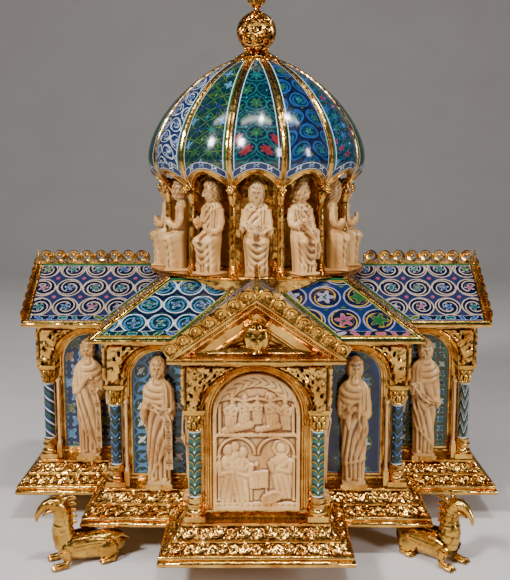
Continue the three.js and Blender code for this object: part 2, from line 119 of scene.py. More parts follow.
# 0 well below a place and 1 well above it, with a soft step between
def softStep(x):
    return 1 / (1 + exp(-x))


def flipFaces(faces):
    return faces[:, ::-1]


# A part from a (rows, cols, 3) array. Caps close the first and last row with a point at their middle, and
# fields are an enamel's distances at the points
def surface(points, wrap=False, capLow=False, capHigh=False, flip=False, uv=None, relief=None, fields=None):
    rows, cols = points.shape[:2]
    verts = points.reshape(-1, 3)
    uvs = zeros((rows * cols, 2)) if uv is None else asarray(uv, float).reshape(-1, 2)
    rel = zeros(rows * cols) if relief is None else asarray(relief, float).reshape(-1)
    faces = gridFaces(rows, cols, wrap)
    tris = zeros((0, 3), int)
    ring = arange(cols)
    nextRing = (ring + 1) % cols
    for wanted, row, turned in ((capLow, 0, True), (capHigh, rows - 1, False)):
        if wanted:
            centre = len(verts)
            verts = vstack([verts, points[row].mean(0)])
            uvs = vstack([uvs, uvs[row * cols:(row + 1) * cols].mean(0)])
            rel = np.append(rel, rel[row * cols])
            fan = stack([row * cols + ring, row * cols + nextRing, full(cols, centre)], -1)
            tris = vstack([tris, fan[:, ::-1] if turned else fan])
    if flip:
        faces, tris = flipFaces(faces), flipFaces(tris)
    enamel = {key: asarray(field, float).ravel() for key, field in (fields or {}).items()}
    return {"verts": verts, "quads": faces, "tris": tris, "uv": uvs, "relief": rel, **enamel}


# How far each point lies below the blurred surface round it: narrow hollows are negative, and the materials paint
# shade into them
def creaseOf(height, reach=3):
    blurred = height
    for _ in range(reach):
        blurred = (blurred + roll(blurred, 1, 0) + roll(blurred, -1, 0)) / 3
        blurred = (blurred + roll(blurred, 1, 1) + roll(blurred, -1, 1)) / 3
    return height - blurred


# One part from many, with their point numbers moved on
def join(parts):
    starts = cumsum([0] + [len(p["verts"]) for p in parts[:-1]])
    return {key: concatenate([p[key] + start if key in ("quads", "tris") else p[key]
                              for p, start in zip(parts, starts)])
            for key in parts[0]}


# A copy turned about Z by an angle and then shifted; mirror swaps left and right
def moved(part, turn=0, shift=(0, 0, 0), mirror=False):
    v = part["verts"].copy()
    out = dict(part)
    if mirror:
        v[:, 0] = -v[:, 0]
        out["quads"], out["tris"] = flipFaces(part["quads"]), flipFaces(part["tris"])
    c, s = cos(turn), sin(turn)
    v = stack([c * v[:, 0] - s * v[:, 1], s * v[:, 0] + c * v[:, 1], v[:, 2]], -1)
    out["verts"] = v + array(shift, float)
    return out


# Copies of parts of the front on the side that is so many quarter turns round
def onSide(parts, turn, mirror=False):
    return [moved(part, turn * pi / 2, mirror=mirror) for part in parts]


def fourSides(part):
    return join([moved(part, k * pi / 2) for k in range(4)])


def placed(name, data):
    thing = bpy.data.objects.new(name, data)
    bpy.context.scene.collection.objects.link(thing)
    return thing


# Puts a part into a mesh object at the origin, with its UV map in mm and its relief attribute, from which the
# materials paint shade into hollows
def makePiece(name, part, material, replaces=(), smooth=True, flatAngle=None):
    mesh = bpy.data.meshes.new(name)
    faces = part["quads"].tolist() + part["tris"].tolist()
    mesh.from_pydata((part["verts"] * mm).tolist(), [], faces)
    corner = zeros(len(mesh.loops), int)
    mesh.loops.foreach_get("vertex_index", corner)
    layer = mesh.uv_layers.new(name="UVMap")
    layer.data.foreach_set("uv", part["uv"][corner].ravel())
    depth = mesh.attributes.new("relief", "FLOAT", "POINT")
    depth.data.foreach_set("value", part["relief"].astype(np.float32))
    mesh.polygons.foreach_set("use_smooth", full(len(mesh.polygons), smooth))
    if smooth and flatAngle:
        mesh.set_sharp_from_angle(angle=np.radians(flatAngle))
    mesh.materials.append(material)
    mesh.update()
    piece = placed(name, mesh)
    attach(piece, "root")
    if replaces:
        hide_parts(*replaces)
    return piece


# The twenty corners of the plan at an offset, anticlockwise from the front arm's left corner
def crossCorners(offset):
    a, b, r = armHalf + offset, blockHalf + offset, armReach + offset
    quarter = array([[-a, -r], [a, -r], [a, -b], [b, -b], [b, -a]])
    turns = [array([[cos(t), sin(t)], [-sin(t), cos(t)]]) for t in arange(4) * pi / 2]
    return vstack([quarter @ t for t in turns])


# A profile of [offset, z] carried round the plan with mitred corners. reliefOf(s, length, t) gives the height in
# mm to raise each point along the profile's normal
def crossSweep(profile, step, reliefOf=None):
    profile = asarray(profile, float)
    along = np.gradient(profile, axis=0)
    along /= maximum(norm(along, axis=1, keepdims=True), 1e-6)
    normal = stack([along[:, 1], -along[:, 0]], -1)
    t = concatenate([[0], cumsum(norm(diff(profile, axis=0), axis=1))])
    rows = stack([vstack([crossCorners(o), crossCorners(o)[:1]]) for o, z in profile])
    columns, heights, rel, uvs = [], [], [], []
    run = 0
    for k in range(20):
        length = norm(rows[0, k + 1] - rows[0, k])
        count = max(1, int(round(length / step)))
        f = arange(count) / count
        s = (f - 0.5) * length
        rise = zeros((len(profile), count))
        if reliefOf:
            rise = reliefOf(s[None, :], length, t[:, None]) * ones((len(profile), count))
        edge = rows[:, k + 1] - rows[:, k]
        unit = edge / norm(edge, axis=1, keepdims=True)
        outward = stack([unit[:, 1], -unit[:, 0]], -1)
        xy = rows[:, k, None, :] + edge[:, None, :] * f[None, :, None]
        xy = xy + outward[:, None, :] * (rise * normal[:, :1])[:, :, None]
        columns.append(xy)
        heights.append(profile[:, 1:2] + rise * normal[:, 1:2])
        rel.append(rise)
        uvs.append(stack(np.broadcast_arrays(run + f[None, :] * length, t[:, None]), -1))
        run += length
    xy = concatenate(columns, 1)
    z = concatenate(heights, 1)
    points = concatenate([xy, z[:, :, None]], -1)
    return surface(points, wrap=True, uv=concatenate(uvs, 1), relief=creaseOf(concatenate(rel, 1), 4))


# A profile of [radius, z] turned about an upright axis. shape(angle, row share) scales the radius
def lathe(profile, sides, centre=(0, 0), shape=None, caps=True):
    profile = asarray(profile, float)
    angle = arange(sides) / sides * tau
    share = linspace(0, 1, len(profile))[:, None]
    radius = profile[:, :1] * (shape(angle[None, :], share) if shape else 1) * ones((1, sides))
    x = centre[0] + radius * cos(angle)
    y = centre[1] + radius * sin(angle)
    z = profile[:, 1:2] * ones((1, sides))
    length = concatenate([[0], cumsum(norm(diff(profile, axis=0), axis=1))])[:, None]
    uv = stack(np.broadcast_arrays(angle[None, :] * abs(profile).max(0)[0], length), -1)
    return surface(stack([x, y, z], -1), wrap=True, capLow=caps, capHigh=caps, uv=uv)


# A circle of the given radius carried along a path; flat squeezes it along the up direction
def tube(path, radius, sides=8, closed=False, flat=1, up=(0, 0, 1)):
    path = asarray(path, float)
    radius = np.broadcast_to(asarray(radius, float), (len(path),))
    ahead = roll(path, -1, 0) - roll(path, 1, 0)
    if not closed:
        ahead[0], ahead[-1] = path[1] - path[0], path[-1] - path[-2]
    ahead /= maximum(norm(ahead, axis=1, keepdims=True), 1e-9)
    side = cross(ahead, asarray(up, float))
    weak = norm(side, axis=1) < 1e-3
    side[weak] = cross(ahead[weak], (1, 0.01, 0))
    side /= norm(side, axis=1, keepdims=True)
    top = cross(side, ahead)
    angle = arange(sides) / sides * tau
    ring = (cos(angle)[None, :, None] * side[:, None] + sin(angle)[None, :, None] * top[:, None] * flat)
    points = path[:, None, :] + ring * radius[:, None, None]
    if closed:
        points = concatenate([points, points[:1]])
        return surface(points, wrap=True)
    return surface(points, wrap=True, capLow=True, capHigh=True)


# A small ball of few faces at every centre
def beads(centres, radius, sides=6, rows=4):
    polar = linspace(0, pi, rows + 1)[1:-1]
    angle = arange(sides) / sides * tau
    ball = stack([
        sin(polar)[:, None] * cos(angle), sin(polar)[:, None] * sin(angle),
        -cos(polar)[:, None] * ones(sides)], -1)
    one = surface(ball * radius, wrap=True, capLow=True, capHigh=True)
    one["verts"][-2:] = [[0, 0, -radius], [0, 0, radius]]
    n = len(one["verts"])
    shift = arange(len(centres))[:, None, None] * n
    return {
        "verts": (one["verts"][None] + asarray(centres, float)[:, None]).reshape(-1, 3),
        "quads": (one["quads"][None] + shift).reshape(-1, 4),
        "tris": (one["tris"][None] + shift).reshape(-1, 3),
        "uv": zeros((n * len(centres), 2)),
        "relief": zeros(n * len(centres)),
    }


# A box from its low to its high corner, as six grids of one face
def slab(low, high):
    (x0, y0, z0), (x1, y1, z1) = low, high
    corners = array([[x0, y0, z0], [x1, y0, z0], [x1, y1, z0], [x0, y1, z0],
                        [x0, y0, z1], [x1, y0, z1], [x1, y1, z1], [x0, y1, z1]], float)
    quads = array([[3, 2, 1, 0], [4, 5, 6, 7], [0, 1, 5, 4], [1, 2, 6, 5], [2, 3, 7, 6], [3, 0, 4, 7]])
    verts = corners[quads.ravel()]
    return {"verts": verts, "quads": arange(24).reshape(6, 4), "tris": zeros((0, 3), int),
            "uv": zeros((24, 2)), "relief": zeros(24)}


def bell(x, middle, width):
    return exp(-((x - middle) / width) ** 2)


# Rounded ridges with narrow valleys, 0 in a valley and 1 on a ridge
def fold(phase):
    return abs(sin(phase)) ** 0.55


# Round folds as wide as the hollows between them, from 0 to 1
def pleat(phase):
    return sin(phase) ** 2


# Materials: one helper adds a node with its settings and links

# Adds a node. links holds sockets' values or other nodes' outputs; out picks the output to hand back
def add(tree, kind, links=None, out=None, **settings):
    node = tree.nodes.new("ShaderNode" + kind)
    for key, value in settings.items():
        setattr(node, key, value)
    for key, value in (links or {}).items():
        if isinstance(value, bpy.types.NodeSocket):
            tree.links.new(value, node.inputs[key])
        else:
            node.inputs[key].default_value = value
    return node if out is None else node.outputs[out]


# sRGB hex to linear RGBA
def linear(hexColour):
    c = array([int(hexColour[i:i + 2], 16) for i in (1, 3, 5)]) / 255
    return (*where(c <= 0.04045, c / 12.92, ((c + 0.055) / 1.055) ** 2.4), 1)


def newMaterial(name):
    material = bpy.data.materials.new(name)
    material.use_nodes = True
    tree = material.node_tree
    tree.nodes.clear()
    output = add(tree, "OutputMaterial")
    shader = add(tree, "BsdfPrincipled")
    tree.links.new(shader.outputs[0], output.inputs["Surface"])
    return material, tree, shader


def paint(tree, shader, **sockets):
    names = {"colour": "Base Color", "roughness": "Roughness", "normal": "Normal", "metallic": "Metallic",
             "coat": "Coat Weight", "coatRoughness": "Coat Roughness"}
    for key, value in sockets.items():
        socket = shader.inputs[names[key]]
        if isinstance(value, bpy.types.NodeSocket):
            tree.links.new(value, socket)
        else:
            socket.default_value = value


# Puts the stops of a colour ramp, each a position and a colour
def fillRamp(node, stops, interpolation="LINEAR"):
    ramp = node.color_ramp
    ramp.interpolation = interpolation
    for i, (position, colour) in enumerate(stops):
        stop = ramp.elements[i] if i < 2 else ramp.elements.new(position)
        stop.position, stop.color = position, colour


gildedFinish = {
    "bright": "#efbd62",      # the burnished tops
    "deep": "#b4712a",        # thin gilding, where copper shows through
    "hollow": "#4c2a0b",      # painted shade in the hollows
    "patchSize": 14,        # mm
    "scratchSize": 2.2,       # mm
    "dentSize": 8,          # mm
}


# Metal whose colour goes from a painted hollow shade to bright with the relief attribute, over soft patches
def gildedMetal(name, bright, deep, hollow, reliefDepth, roughness):
    material, tree, shader = newMaterial(name)
    place = add(tree, "TexCoord").outputs["Object"]
    patch = add(tree, "TexNoise", {"Vector": place, "Scale": 1000 / gildedFinish["patchSize"], "Detail": 4})
    sharpen = add(tree, "MapRange", {"Value": patch.outputs["Fac"], 1: 0.3, 2: 0.62})
    body = add(tree, "Mix", {0: sharpen.outputs[0], 6: linear(deep), 7: linear(bright)}, out=2,
               data_type="RGBA")
    # painted shade: the narrow hollows that the relief attribute marks are darkened towards the shade colour
    depth = add(tree, "Attribute", attribute_name="relief")
    top = add(tree, "MapRange", {"Value": depth.outputs["Fac"], 1: -reliefDepth, 2: 0})
    whole = add(tree, "Mix", {0: top.outputs[0], 6: linear(hollow), 7: body}, out=2, data_type="RGBA")
    scratch = add(tree, "TexNoise", {"Vector": place, "Scale": 1000 / gildedFinish["scratchSize"], "Detail": 3})
    rough = add(tree, "MapRange",
                {"Value": scratch.outputs["Fac"], 1: 0.3, 2: 0.7, 3: roughness - 0.07, 4: roughness + 0.12})
    # the sheet was beaten by hand: broad shallow dents bend the reflections, and fine scratches lie over them
    dents = add(tree, "TexNoise", {"Vector": place, "Scale": 1000 / gildedFinish["dentSize"], "Detail": 1}, out="Fac")
    broad = add(tree, "Bump", {"Height": dents, "Strength": 0.8, "Distance": 0.0012}, out=0)
    bump = add(tree, "Bump", {"Height": scratch.outputs["Fac"], "Strength": 0.25, "Distance": 0.0002, "Normal": broad},
               out=0)
    paint(tree, shader, colour=whole, roughness=rough.outputs[0], normal=bump, metallic=1)
    return material


# Fire-gilded copper: mercury gilding burnished to a warm, bright, slightly uneven gold
fireGiltCopper = gildedMetal("fireGiltCopper", gildedFinish["bright"], gildedFinish["deep"],
                             gildedFinish["hollow"], 0.6, 0.18)
# Cast gilt bronze: heavier, browner, with a darker painted shade in its hollows
castGiltBronze = gildedMetal("castGiltBronze", "#e6b556", "#a8702a", "#361d08", 0.5, 0.19)
# Thinly gilded sheet with a greenish cast, behind the seated figures
greenGiltSheet = gildedMetal("greenGiltSheet", "#e3d58a", "#a59a4c", "#40380f", 0.5, 0.2)


# Stamped foliage: a wavy stem with a curled leaf in every bend, as a height in mm

ornament = {"depth": 1.3, "stem": 0.9}   # mm


# A running scroll in a band. In every half period a spiral r = k * angle curls from the stem, inside a ring; the
# height is the tallest of stem, ring and spiral, each a rounded ridge
def scrollRelief(s, t, height, period):
    half = period / 2
    cell = floor(s / half + 0.5)
    x = s - cell * half
    way = where(mod(cell, 2) == 0, 1, -1)
    y = (t - height / 2) * way
    stem = clamp(1 - ((y - 0.32 * height * cos(pi * x / half)) / ornament["stem"]) ** 2)
    r = hypot(x, y + height * 0.06)
    angle = arctan2(y + height * 0.06, x)
    spiral = clamp(1 - ((mod(r * 6.5 / height + angle / tau, 1) - 0.5) / 0.36) ** 2)
    leaf = clamp(1 - (r - height * (0.30 + 0.07 * cos(5 * angle))) ** 2)
    inside = r < height * 0.42
    top = maximum(stem, where(inside, maximum(spiral, leaf), 0))
    return ornament["depth"] * (top - 1)


# A scroll between two distances along a profile, level with the metal elsewhere
def bandRelief(low, high, period):
    def relief(s, length, t):
        repeats = max(1, round(length / period))
        inside = (t > low) & (t < high)
        return where(inside, scrollRelief(s, t - low, high - low, length / repeats), 0)
    return relief


print("stage: helpers and metals ready")


# The plinth: a rounded foot, two sloping bands of stamped scrolls, and the platform

plinth = {
    "profile": [[24, 0], [25.2, 0.7], [26, 2.3], [25.3, 4.2], [24, 4.8], [23.4, 5.2], [24.6, 6.2],
                [24.8, 7.4], [24, 8.4], [22.8, 8.8], [23, 9.3], [15.9, 15.6], [15.4, 15.8], [15.9, 16.4],
                [15.5, 17.1], [15.2, 17], [8.3, 24.6], [8.9, 24.9], [9, 25.6], [8, 26]],
    "step": 0.9,
    "sections": ((0, 10, 0), (10, 11, 17), (11, 15, 0), (15, 16, 21), (16, 19, 0)),   # from, to, the scroll's period
}


# Adds points between a profile's own, no more than a step apart
def refine(profile, step):
    profile = asarray(profile, float)
    out = [profile[:1]]
    for a, b in zip(profile[:-1], profile[1:]):
        count = max(1, int(np.ceil(norm(b - a) / step)))
        out.append(a + (b - a) * (arange(1, count + 1) / count)[:, None])
    return vstack(out)


# Only the two stamped bands need a fine grid: the mouldings between them run straight from corner to corner
def buildPlinth():
    base = plinthLow[2]
    scale = (plinthHigh[2] - base) / plinth["profile"][-1][1]
    outline = array([[out, base + z * scale] for out, z in plinth["profile"]])
    sides = []
    for first, last, period in plinth["sections"]:
        part = outline[first:last + 1]
        if period:
            high = norm(part[1] - part[0])
            sides.append(crossSweep(refine(part, 1), plinth["step"], bandRelief(0.5, high - 0.5, period)))
        else:
            sides.append(crossSweep(part, 30))
    top = crossPlate(outline[-1, 0], platformZ, up=True)
    under = crossPlate(outline[0, 0], base, up=False)
    makePiece("steppedPlinth", join(sides + [top, under]), fireGiltCopper, ["plinth"],
              flatAngle=50)


# A flat cross at a height: three overlapping strips share the plan's corners
def crossPlate(offset, z, up):
    a, b, r = armHalf + offset, blockHalf + offset, armReach + offset
    bars = [(-a, a, -r, -b), (-a, a, b, r), (-b, b, -b, -a), (-r, r, -a, a), (-b, b, a, b)]
    plates = []
    for x0, x1, y0, y1 in bars:
        points = array([[[x0, y0, z], [x1, y0, z]], [[x0, y1, z], [x1, y1, z]]], float)
        plates.append(surface(points, flip=not up))
    return join(plates)


buildPlinth()
print("stage: plinth")


# Champlevé enamel: glass powder fused in cells cut into copper, ground and polished to a gloss.
# Each plate carries smooth distances in mm as attributes, and the material turns them into cells and lines.

enamelFields = ("disc", "leaf", "stem", "small", "kind", "edge")


# Distances for a pattern of motifs on a grid of pitch (pu, pv), every other row moved by stagger. disc = r -
# ring; leaf = r - petal * (1 - lobe + lobe * cos(n * angle)); small = distance from the gaps' centres; stem =
# distance across a wave, a lattice, or a coil inside the ring, sin(tau * r / coil - angle)
def motifs(u, v, recipe):
    pu, pv = recipe["pitch"]
    row = floor(v / pv + 0.5)
    moveU = recipe.get("stagger", 0) * pu * mod(row, 2)
    col = floor((u + moveU) / pu + 0.5)
    x, y = u + moveU - col * pu, v - row * pv
    r, angle = hypot(x, y), arctan2(y, x)
    petals, size, lobe = recipe["petals"]
    turn = recipe.get("turn", 0) + recipe.get("turnEach", 0) * (row + col)
    leaf = r - size * (1 - lobe + lobe * cos(petals * (angle + turn)))
    small = hypot(abs(x) - pu / 2, abs(y) - pv / 2) - recipe.get("small", (0,))[0]
    disc = r - recipe.get("ring", (0,))[0]
    stem = np.full_like(disc, 9)
    if "lattice" in recipe:
        period = recipe["lattice"]
        d1 = mod(u + v, period) - period / 2
        d2 = mod(u - v, period) - period / 2
        stem = where(abs(d1) < abs(d2), d1, d2)
    if "coil" in recipe:
        way = where(mod(row + col, 2) == 0, 1, -1)
        turns = sin(tau * r / recipe["coil"] - way * angle + row) * recipe["coil"] / tau
        stem = where((disc < 0) & (r > size * 0.9), turns, 9)
    kind = mod(abs(sin(row * 12.99 + col * 78.23 + recipe.get("seed", 1)) * 4375.85), 1)
    return {"disc": disc, "leaf": leaf, "stem": stem, "small": small, "kind": kind}


# Cells by distance. Each layer is a field, its low and high limit and a colour, laid over the ones before
def champleve(name, recipe):
    ground = recipe["ground"]
    ringWide, ringTone = recipe.get("ring", (0, 0, ground))[1:]
    stemWide, stemTone = recipe.get("stem", (0, ground))
    heartAt, heartTone = recipe.get("heart", (-99, ground))
    layers = [("small", -9, 0, recipe.get("small", (0, ground))[1]), ("disc", -99, 0, recipe.get("inner", ground)),
              ("stem", -stemWide, stemWide, stemTone), ("disc", -ringWide, ringWide, ringTone),
              ("leaf", -99, recipe.get("line", 0.32), recipe["leafEdge"]), ("leaf", -99, 0, None),
              ("leaf", -99, heartAt, heartTone), ("edge", -99, 1.4, recipe["border"][0]),
              ("edge", -99, 0.7, recipe["border"][1])]
    material, tree, shader = newMaterial(name)
    field = {f: add(tree, "Attribute", out="Fac", attribute_name=f) for f in enamelFields}
    place = add(tree, "TexCoord", out="Object")
    mottle = add(tree, "TexNoise", {"Vector": place, "Scale": 260, "Detail": 2}, out="Fac")
    leaves = recipe["leaves"].split()
    leafTone = add(tree, "ValToRGB", {"Fac": field["kind"]})
    fillRamp(leafTone, [(i / len(leaves), linear(enamelTones[leaf])) for i, leaf in enumerate(leaves)], "CONSTANT")
    tone = linear(enamelTones[ground])
    for key, low, high, laid in layers:
        inside = add(tree, "Math", {0: field[key], 1: (low + high) / 2, 2: (high - low) / 2}, out=0,
                     operation="COMPARE")
        top = linear(enamelTones[laid]) if laid else leafTone.outputs[0]
        tone = add(tree, "Mix", {0: inside, 6: tone, 7: top}, out=2, data_type="RGBA")
    shade = add(tree, "MapRange", {"Value": mottle, 1: 0.25, 2: 0.75, 3: 0.7, 4: 1.1}, out=0)
    final = add(tree, "VectorMath", {0: tone, "Scale": shade}, out=0, operation="SCALE")
    rough = add(tree, "MapRange", {"Value": mottle, 1: 0.3, 2: 0.7, 3: 0.1, 4: 0.22}, out=0)
    bump = add(tree, "Bump", {"Height": mottle, "Strength": 0.12, "Distance": 0.0002}, out=0)
    paint(tree, shader, colour=final, roughness=rough, normal=bump, coat=0.15, coatRoughness=0.06)
    return material


# A plate with its enamel distances stored as point attributes
def makeEnamel(name, part, material):
    piece = makePiece(name, part, material, flatAngle=40)
    for key in enamelFields:
        layer = piece.data.attributes.new(key, "FLOAT", "POINT")
        layer.data.foreach_set("value", part[key].astype(np.float32))


enamelTones = {
    "blue": "#142650", "deepBlue": "#0c1632", "midBlue": "#1d4780", "skyBlue": "#437aa6", "teal": "#0d5654",
    "darkTeal": "#082a32", "green": "#1d4f2b", "darkGreen": "#0f2d1c", "leafGreen": "#466020", "yellow": "#b58d28",
    "red": "#7d1c24", "white": "#c6cdcc", "sand": "#b7a08a", "lilac": "#83809c", "orange": "#b9621c",
    "black": "#0a1120",
    "rose": "#8f4462", "slate": "#232b4a",
}


# Carving helpers: heights of ridges and ovals over a field

# Height of a rounded ridge that follows a broken line, wide at its foot and tall at its middle
def ridgeAlong(x, z, points, wide, tall):
    best = full(x.shape, 9e9)
    for (x0, z0), (x1, z1) in zip(points[:-1], points[1:]):
        dx, dz = x1 - x0, z1 - z0
        t = clamp(((x - x0) * dx + (z - z0) * dz) / max(dx * dx + dz * dz, 1e-9))
        best = minimum(best, hypot(x - x0 - t * dx, z - z0 - t * dz))
    return tall * sqrt(clamp(1 - (best / wide) ** 2))


def oval(x, z, cx, cz, rx, rz, tall, tilt=0):
    c, s = cos(tilt), sin(tilt)
    u, v = ((x - cx) * c + (z - cz) * s) / rx, (-(x - cx) * s + (z - cz) * c) / rz
    return tall * sqrt(clamp(1 - u ** 2 - v ** 2))


# Walls: gilded arches over enamelled niches

walls = {
    "abacusHalf": 8.2, "archMargin": 3, "grid": 1.25, "enamelGrid": 1.55, "plateDeep": 0.8,
    "stripWide": 5.5, "stripThick": 1.7, "stripAlong": 8.6, "stripAcross": 1.6,
}
niches = {
    # each bay: its ends along its wall and the distance of the column line from the centre; its middle and half width
    # are added below
    "block": {"from": armHalf, "to": blockHalf, "reach": blockHalf},
    "arm": {"from": blockHalf, "to": armReach, "reach": armHalf},
}
for bay in niches.values():
    inner, outer = bay["from"] + spandrelOut, bay["to"] - walls["abacusHalf"]
    bay["middle"], bay["half"] = (inner + outer) / 2, (outer - inner) / 2
endBay = {"middle": 0, "half": armHalf - walls["abacusHalf"] / 2, "reach": armReach,
          "from": -armHalf - spandrelOut, "to": armHalf + spandrelOut}


# Points (x, z) of a bay's arch, from its right spring over the crown to its left
def archLine(bay, grow=0):
    angle = linspace(0, pi, 29)
    radius = bay["half"] + grow
    centreZ = wallTopZ - walls["archMargin"] - bay["half"]
    return stack([bay["middle"] + radius * cos(angle), centreZ + radius * sin(angle)], -1)


# The gilt sheet over an arch: from the arch's edge, or the capitals' level beside it, up to the cornice
def spandrel(bay, low, high):
    y = -(bay["reach"] + spandrelOut)
    centreZ = wallTopZ - walls["archMargin"] - bay["half"]
    x = linspace(low, high, int((high - low) / walls["grid"]) + 1)
    away = abs(x - bay["middle"])
    foot = where(away < bay["half"], centreZ + sqrt(clip(bay["half"] ** 2 - away ** 2, 0, None)), capitalZ)
    f = linspace(0, 1, 22)[:, None]
    z = foot + (wallTopZ - foot) * f
    xx = np.broadcast_to(x, z.shape)
    radial = hypot(xx - bay["middle"], z - centreZ) - bay["half"]
    inside = (radial > 4.2) & (z < wallTopZ - 1.2) & (xx > low + 2) & (xx < high - 2)
    # leaves in three rows fan out over the arch: ovals with a sunk midrib and lobed edges
    rel = -1.4 * inside + 0 * xx
    reach = bay["half"]
    for row, (out, long, wide) in enumerate(((8.5, 7.4, 2.9), (17.5, 7.4, 3.1), (26.5, 7, 3.1))):
        count = int(1.62 * (reach + out) / (1.9 * wide))
        for k in range(count):
            lean = (k + 0.5 * (row % 2) + 0.3) / count * 1.62
            for way in (-1, 1):
                cx, cz = bay["middle"] + way * (reach + out) * sin(lean), centreZ + (reach + out) * cos(lean)
                tilt = way * lean * (0.5 if row else 0.75)
                dx, dz = xx - cx, z - cz
                along = (dx * sin(tilt) + dz * cos(tilt)) / long
                across = (dx * cos(tilt) - dz * sin(tilt)) / (wide * (1 + 0.22 * cos(along * 11)))
                body = sqrt(clamp(1 - along ** 2 - across ** 2))
                leaf = where(body > 0, 2.3 * body + 1.5 * clamp(along) ** 2 - 1.2 * bell(across, 0, 0.2), -1.4)
                rel = where(inside, maximum(rel, leaf), 0)
    band = where((radial < 3.6) & (radial > 0) & (z > centreZ), 0.9 * cos(radial / 3.6 * pi * 2) + 0.4, 0)
    points = stack([xx, y - (rel + 0.8) * inside - band, z], -1)
    return surface(points, relief=1.2 * creaseOf(rel, 4))


# The arch's soffit and the floor of one bay, seen from in front
def niche(bay):
    front = -(bay["reach"] + spandrelOut)
    back = -(bay["reach"] - wallInset)
    line = archLine(bay)
    soffit = stack([stack([line[:, 0], full(len(line), y), line[:, 1]], -1) for y in (front, back)])
    sill = slab((bay["middle"] - bay["half"], back - 1, platformZ + 0.3),
                (bay["middle"] + bay["half"], back + 1, platformZ + 4))
    return join([surface(soffit), sill])


# A moulding that follows a bay's outline, up both sides and round the arch, on the back of the niche
def frameAround(bay, inset, wide, low, z0):
    line = archLine(bay, -inset)
    path = vstack([[[line[0, 0], z0]], line, [[line[-1, 0], z0]]])
    y = full(len(path), -(bay["reach"] - wallInset) - low)
    return tube(stack([path[:, 0], y, path[:, 1]], -1), wide / 2, sides=6, up=(0, 1, 0))


# An enamel plate with an arched top: rows follow the outline, so its edge distance is exact
def nichePanel(bay, inset, z0, recipe):
    y = -(bay["reach"] - wallInset) - walls["plateDeep"]
    half = bay["half"] - inset
    centreZ = wallTopZ - walls["archMargin"] - bay["half"]
    cols, rows = int(2 * half / walls["enamelGrid"]), int((centreZ + half - z0) / walls["enamelGrid"])
    a = linspace(-1, 1, cols)[None, :] * half
    top = centreZ + sqrt(clip(half ** 2 - a ** 2, 0, None))
    f = linspace(0, 1, rows)[:, None]
    z = z0 + (top - z0) * f
    x = np.broadcast_to(a, z.shape)
    fields = motifs(x, z - z0 - recipe.get("lift", 0), recipe)
    edge = minimum(half - where(z > centreZ, hypot(x, z - centreZ), abs(x)), z - z0)
    if "vine" in recipe:
        windVine(fields, x, z - platformZ - 7.4, recipe)
    fields["edge"] = edge
    return surface(stack([x + bay["middle"], np.full_like(z, y), z], -1), uv=stack([x, z], -1), fields=fields)


# The enamels of the niches, named by where they show: four unlike patterns, met again on the far sides
nicheEnamels = {
    "starredBlue": dict(  # rows of quatrefoils with orange hearts
        pitch=(12, 11.5), petals=(4, 5.6, 0.36), heart=(-3.6, "orange"), border=("green", "skyBlue"),
        leaves="yellow skyBlue leafGreen skyBlue", stagger=0.5, turn=0.785, seed=2, ground="blue", leafEdge="white"),
    "ringedGreen": dict(  # light blue rings with white crosses
        pitch=(14.6, 14), petals=(4, 4.6, 0.46), ring=(6.4, 0.8, "skyBlue"), small=(1.5, "white"),
        heart=(-3.3, "yellow"), border=("skyBlue", "green"), leaves="white white skyBlue", turn=0.785, seed=5,
        ground="blue", inner="darkGreen", leafEdge="darkTeal"),
    "vineGreen": dict(  # a green vine that winds round pale blue leaves
        pitch=(40, 12.5), petals=(5, 4.9, 0.4), ring=(5.6, 0.8, "leafGreen"), stem=(1.1, "leafGreen"),
        heart=(-3.2, "blue"), border=("skyBlue", "red"), leaves="skyBlue white skyBlue teal", seed=3, vine=9.6,
        ground="blue", inner="green", leafEdge="white"),
    "checkeredGreen": dict(  # dark blue and white florets on green
        pitch=(8.2, 8.2), petals=(4, 3.4, 0.4), small=(1.4, "red"), heart=(-2.3, "skyBlue"),
        border=("leafGreen", "darkGreen"), leaves="midBlue deepBlue white", turn=0.785, seed=7, ground="green",
        leafEdge="white"),
}


# Moves the motifs of a vine to alternate sides of a wave and lets its stem run between them
def windVine(fields, x, v, recipe):
    pv, out = recipe["pitch"][1], recipe["vine"]
    petals, size, lobe = recipe["petals"]
    fresh = []
    for way in (-1, 1):
        row = floor((v / pv + (0.5 if way > 0 else 1.5)) / 2 + 0.25) * 2 - (0 if way > 0 else 1)
        y = v - row * pv
        r, angle = hypot(x - way * out, y), arctan2(y, x - way * out)
        leaf = r - size * (1 - lobe + lobe * cos(petals * (angle + row * 0.7)))
        fresh.append((r - recipe["ring"][0], leaf, mod(abs(sin(row * 3.7) * 91.7), 1)))
    near = fresh[0][0] < fresh[1][0]
    for key, left, right in zip(("disc", "leaf", "kind"), *fresh):
        fields[key] = where(near, left, right)
    fields["stem"] = x + out * 1.2 * cos(pi * v / pv)


nicheChoices = {"block": ("vineGreen", "ringedGreen"), "arm": ("checkeredGreen", "starredBlue")}   # right and left


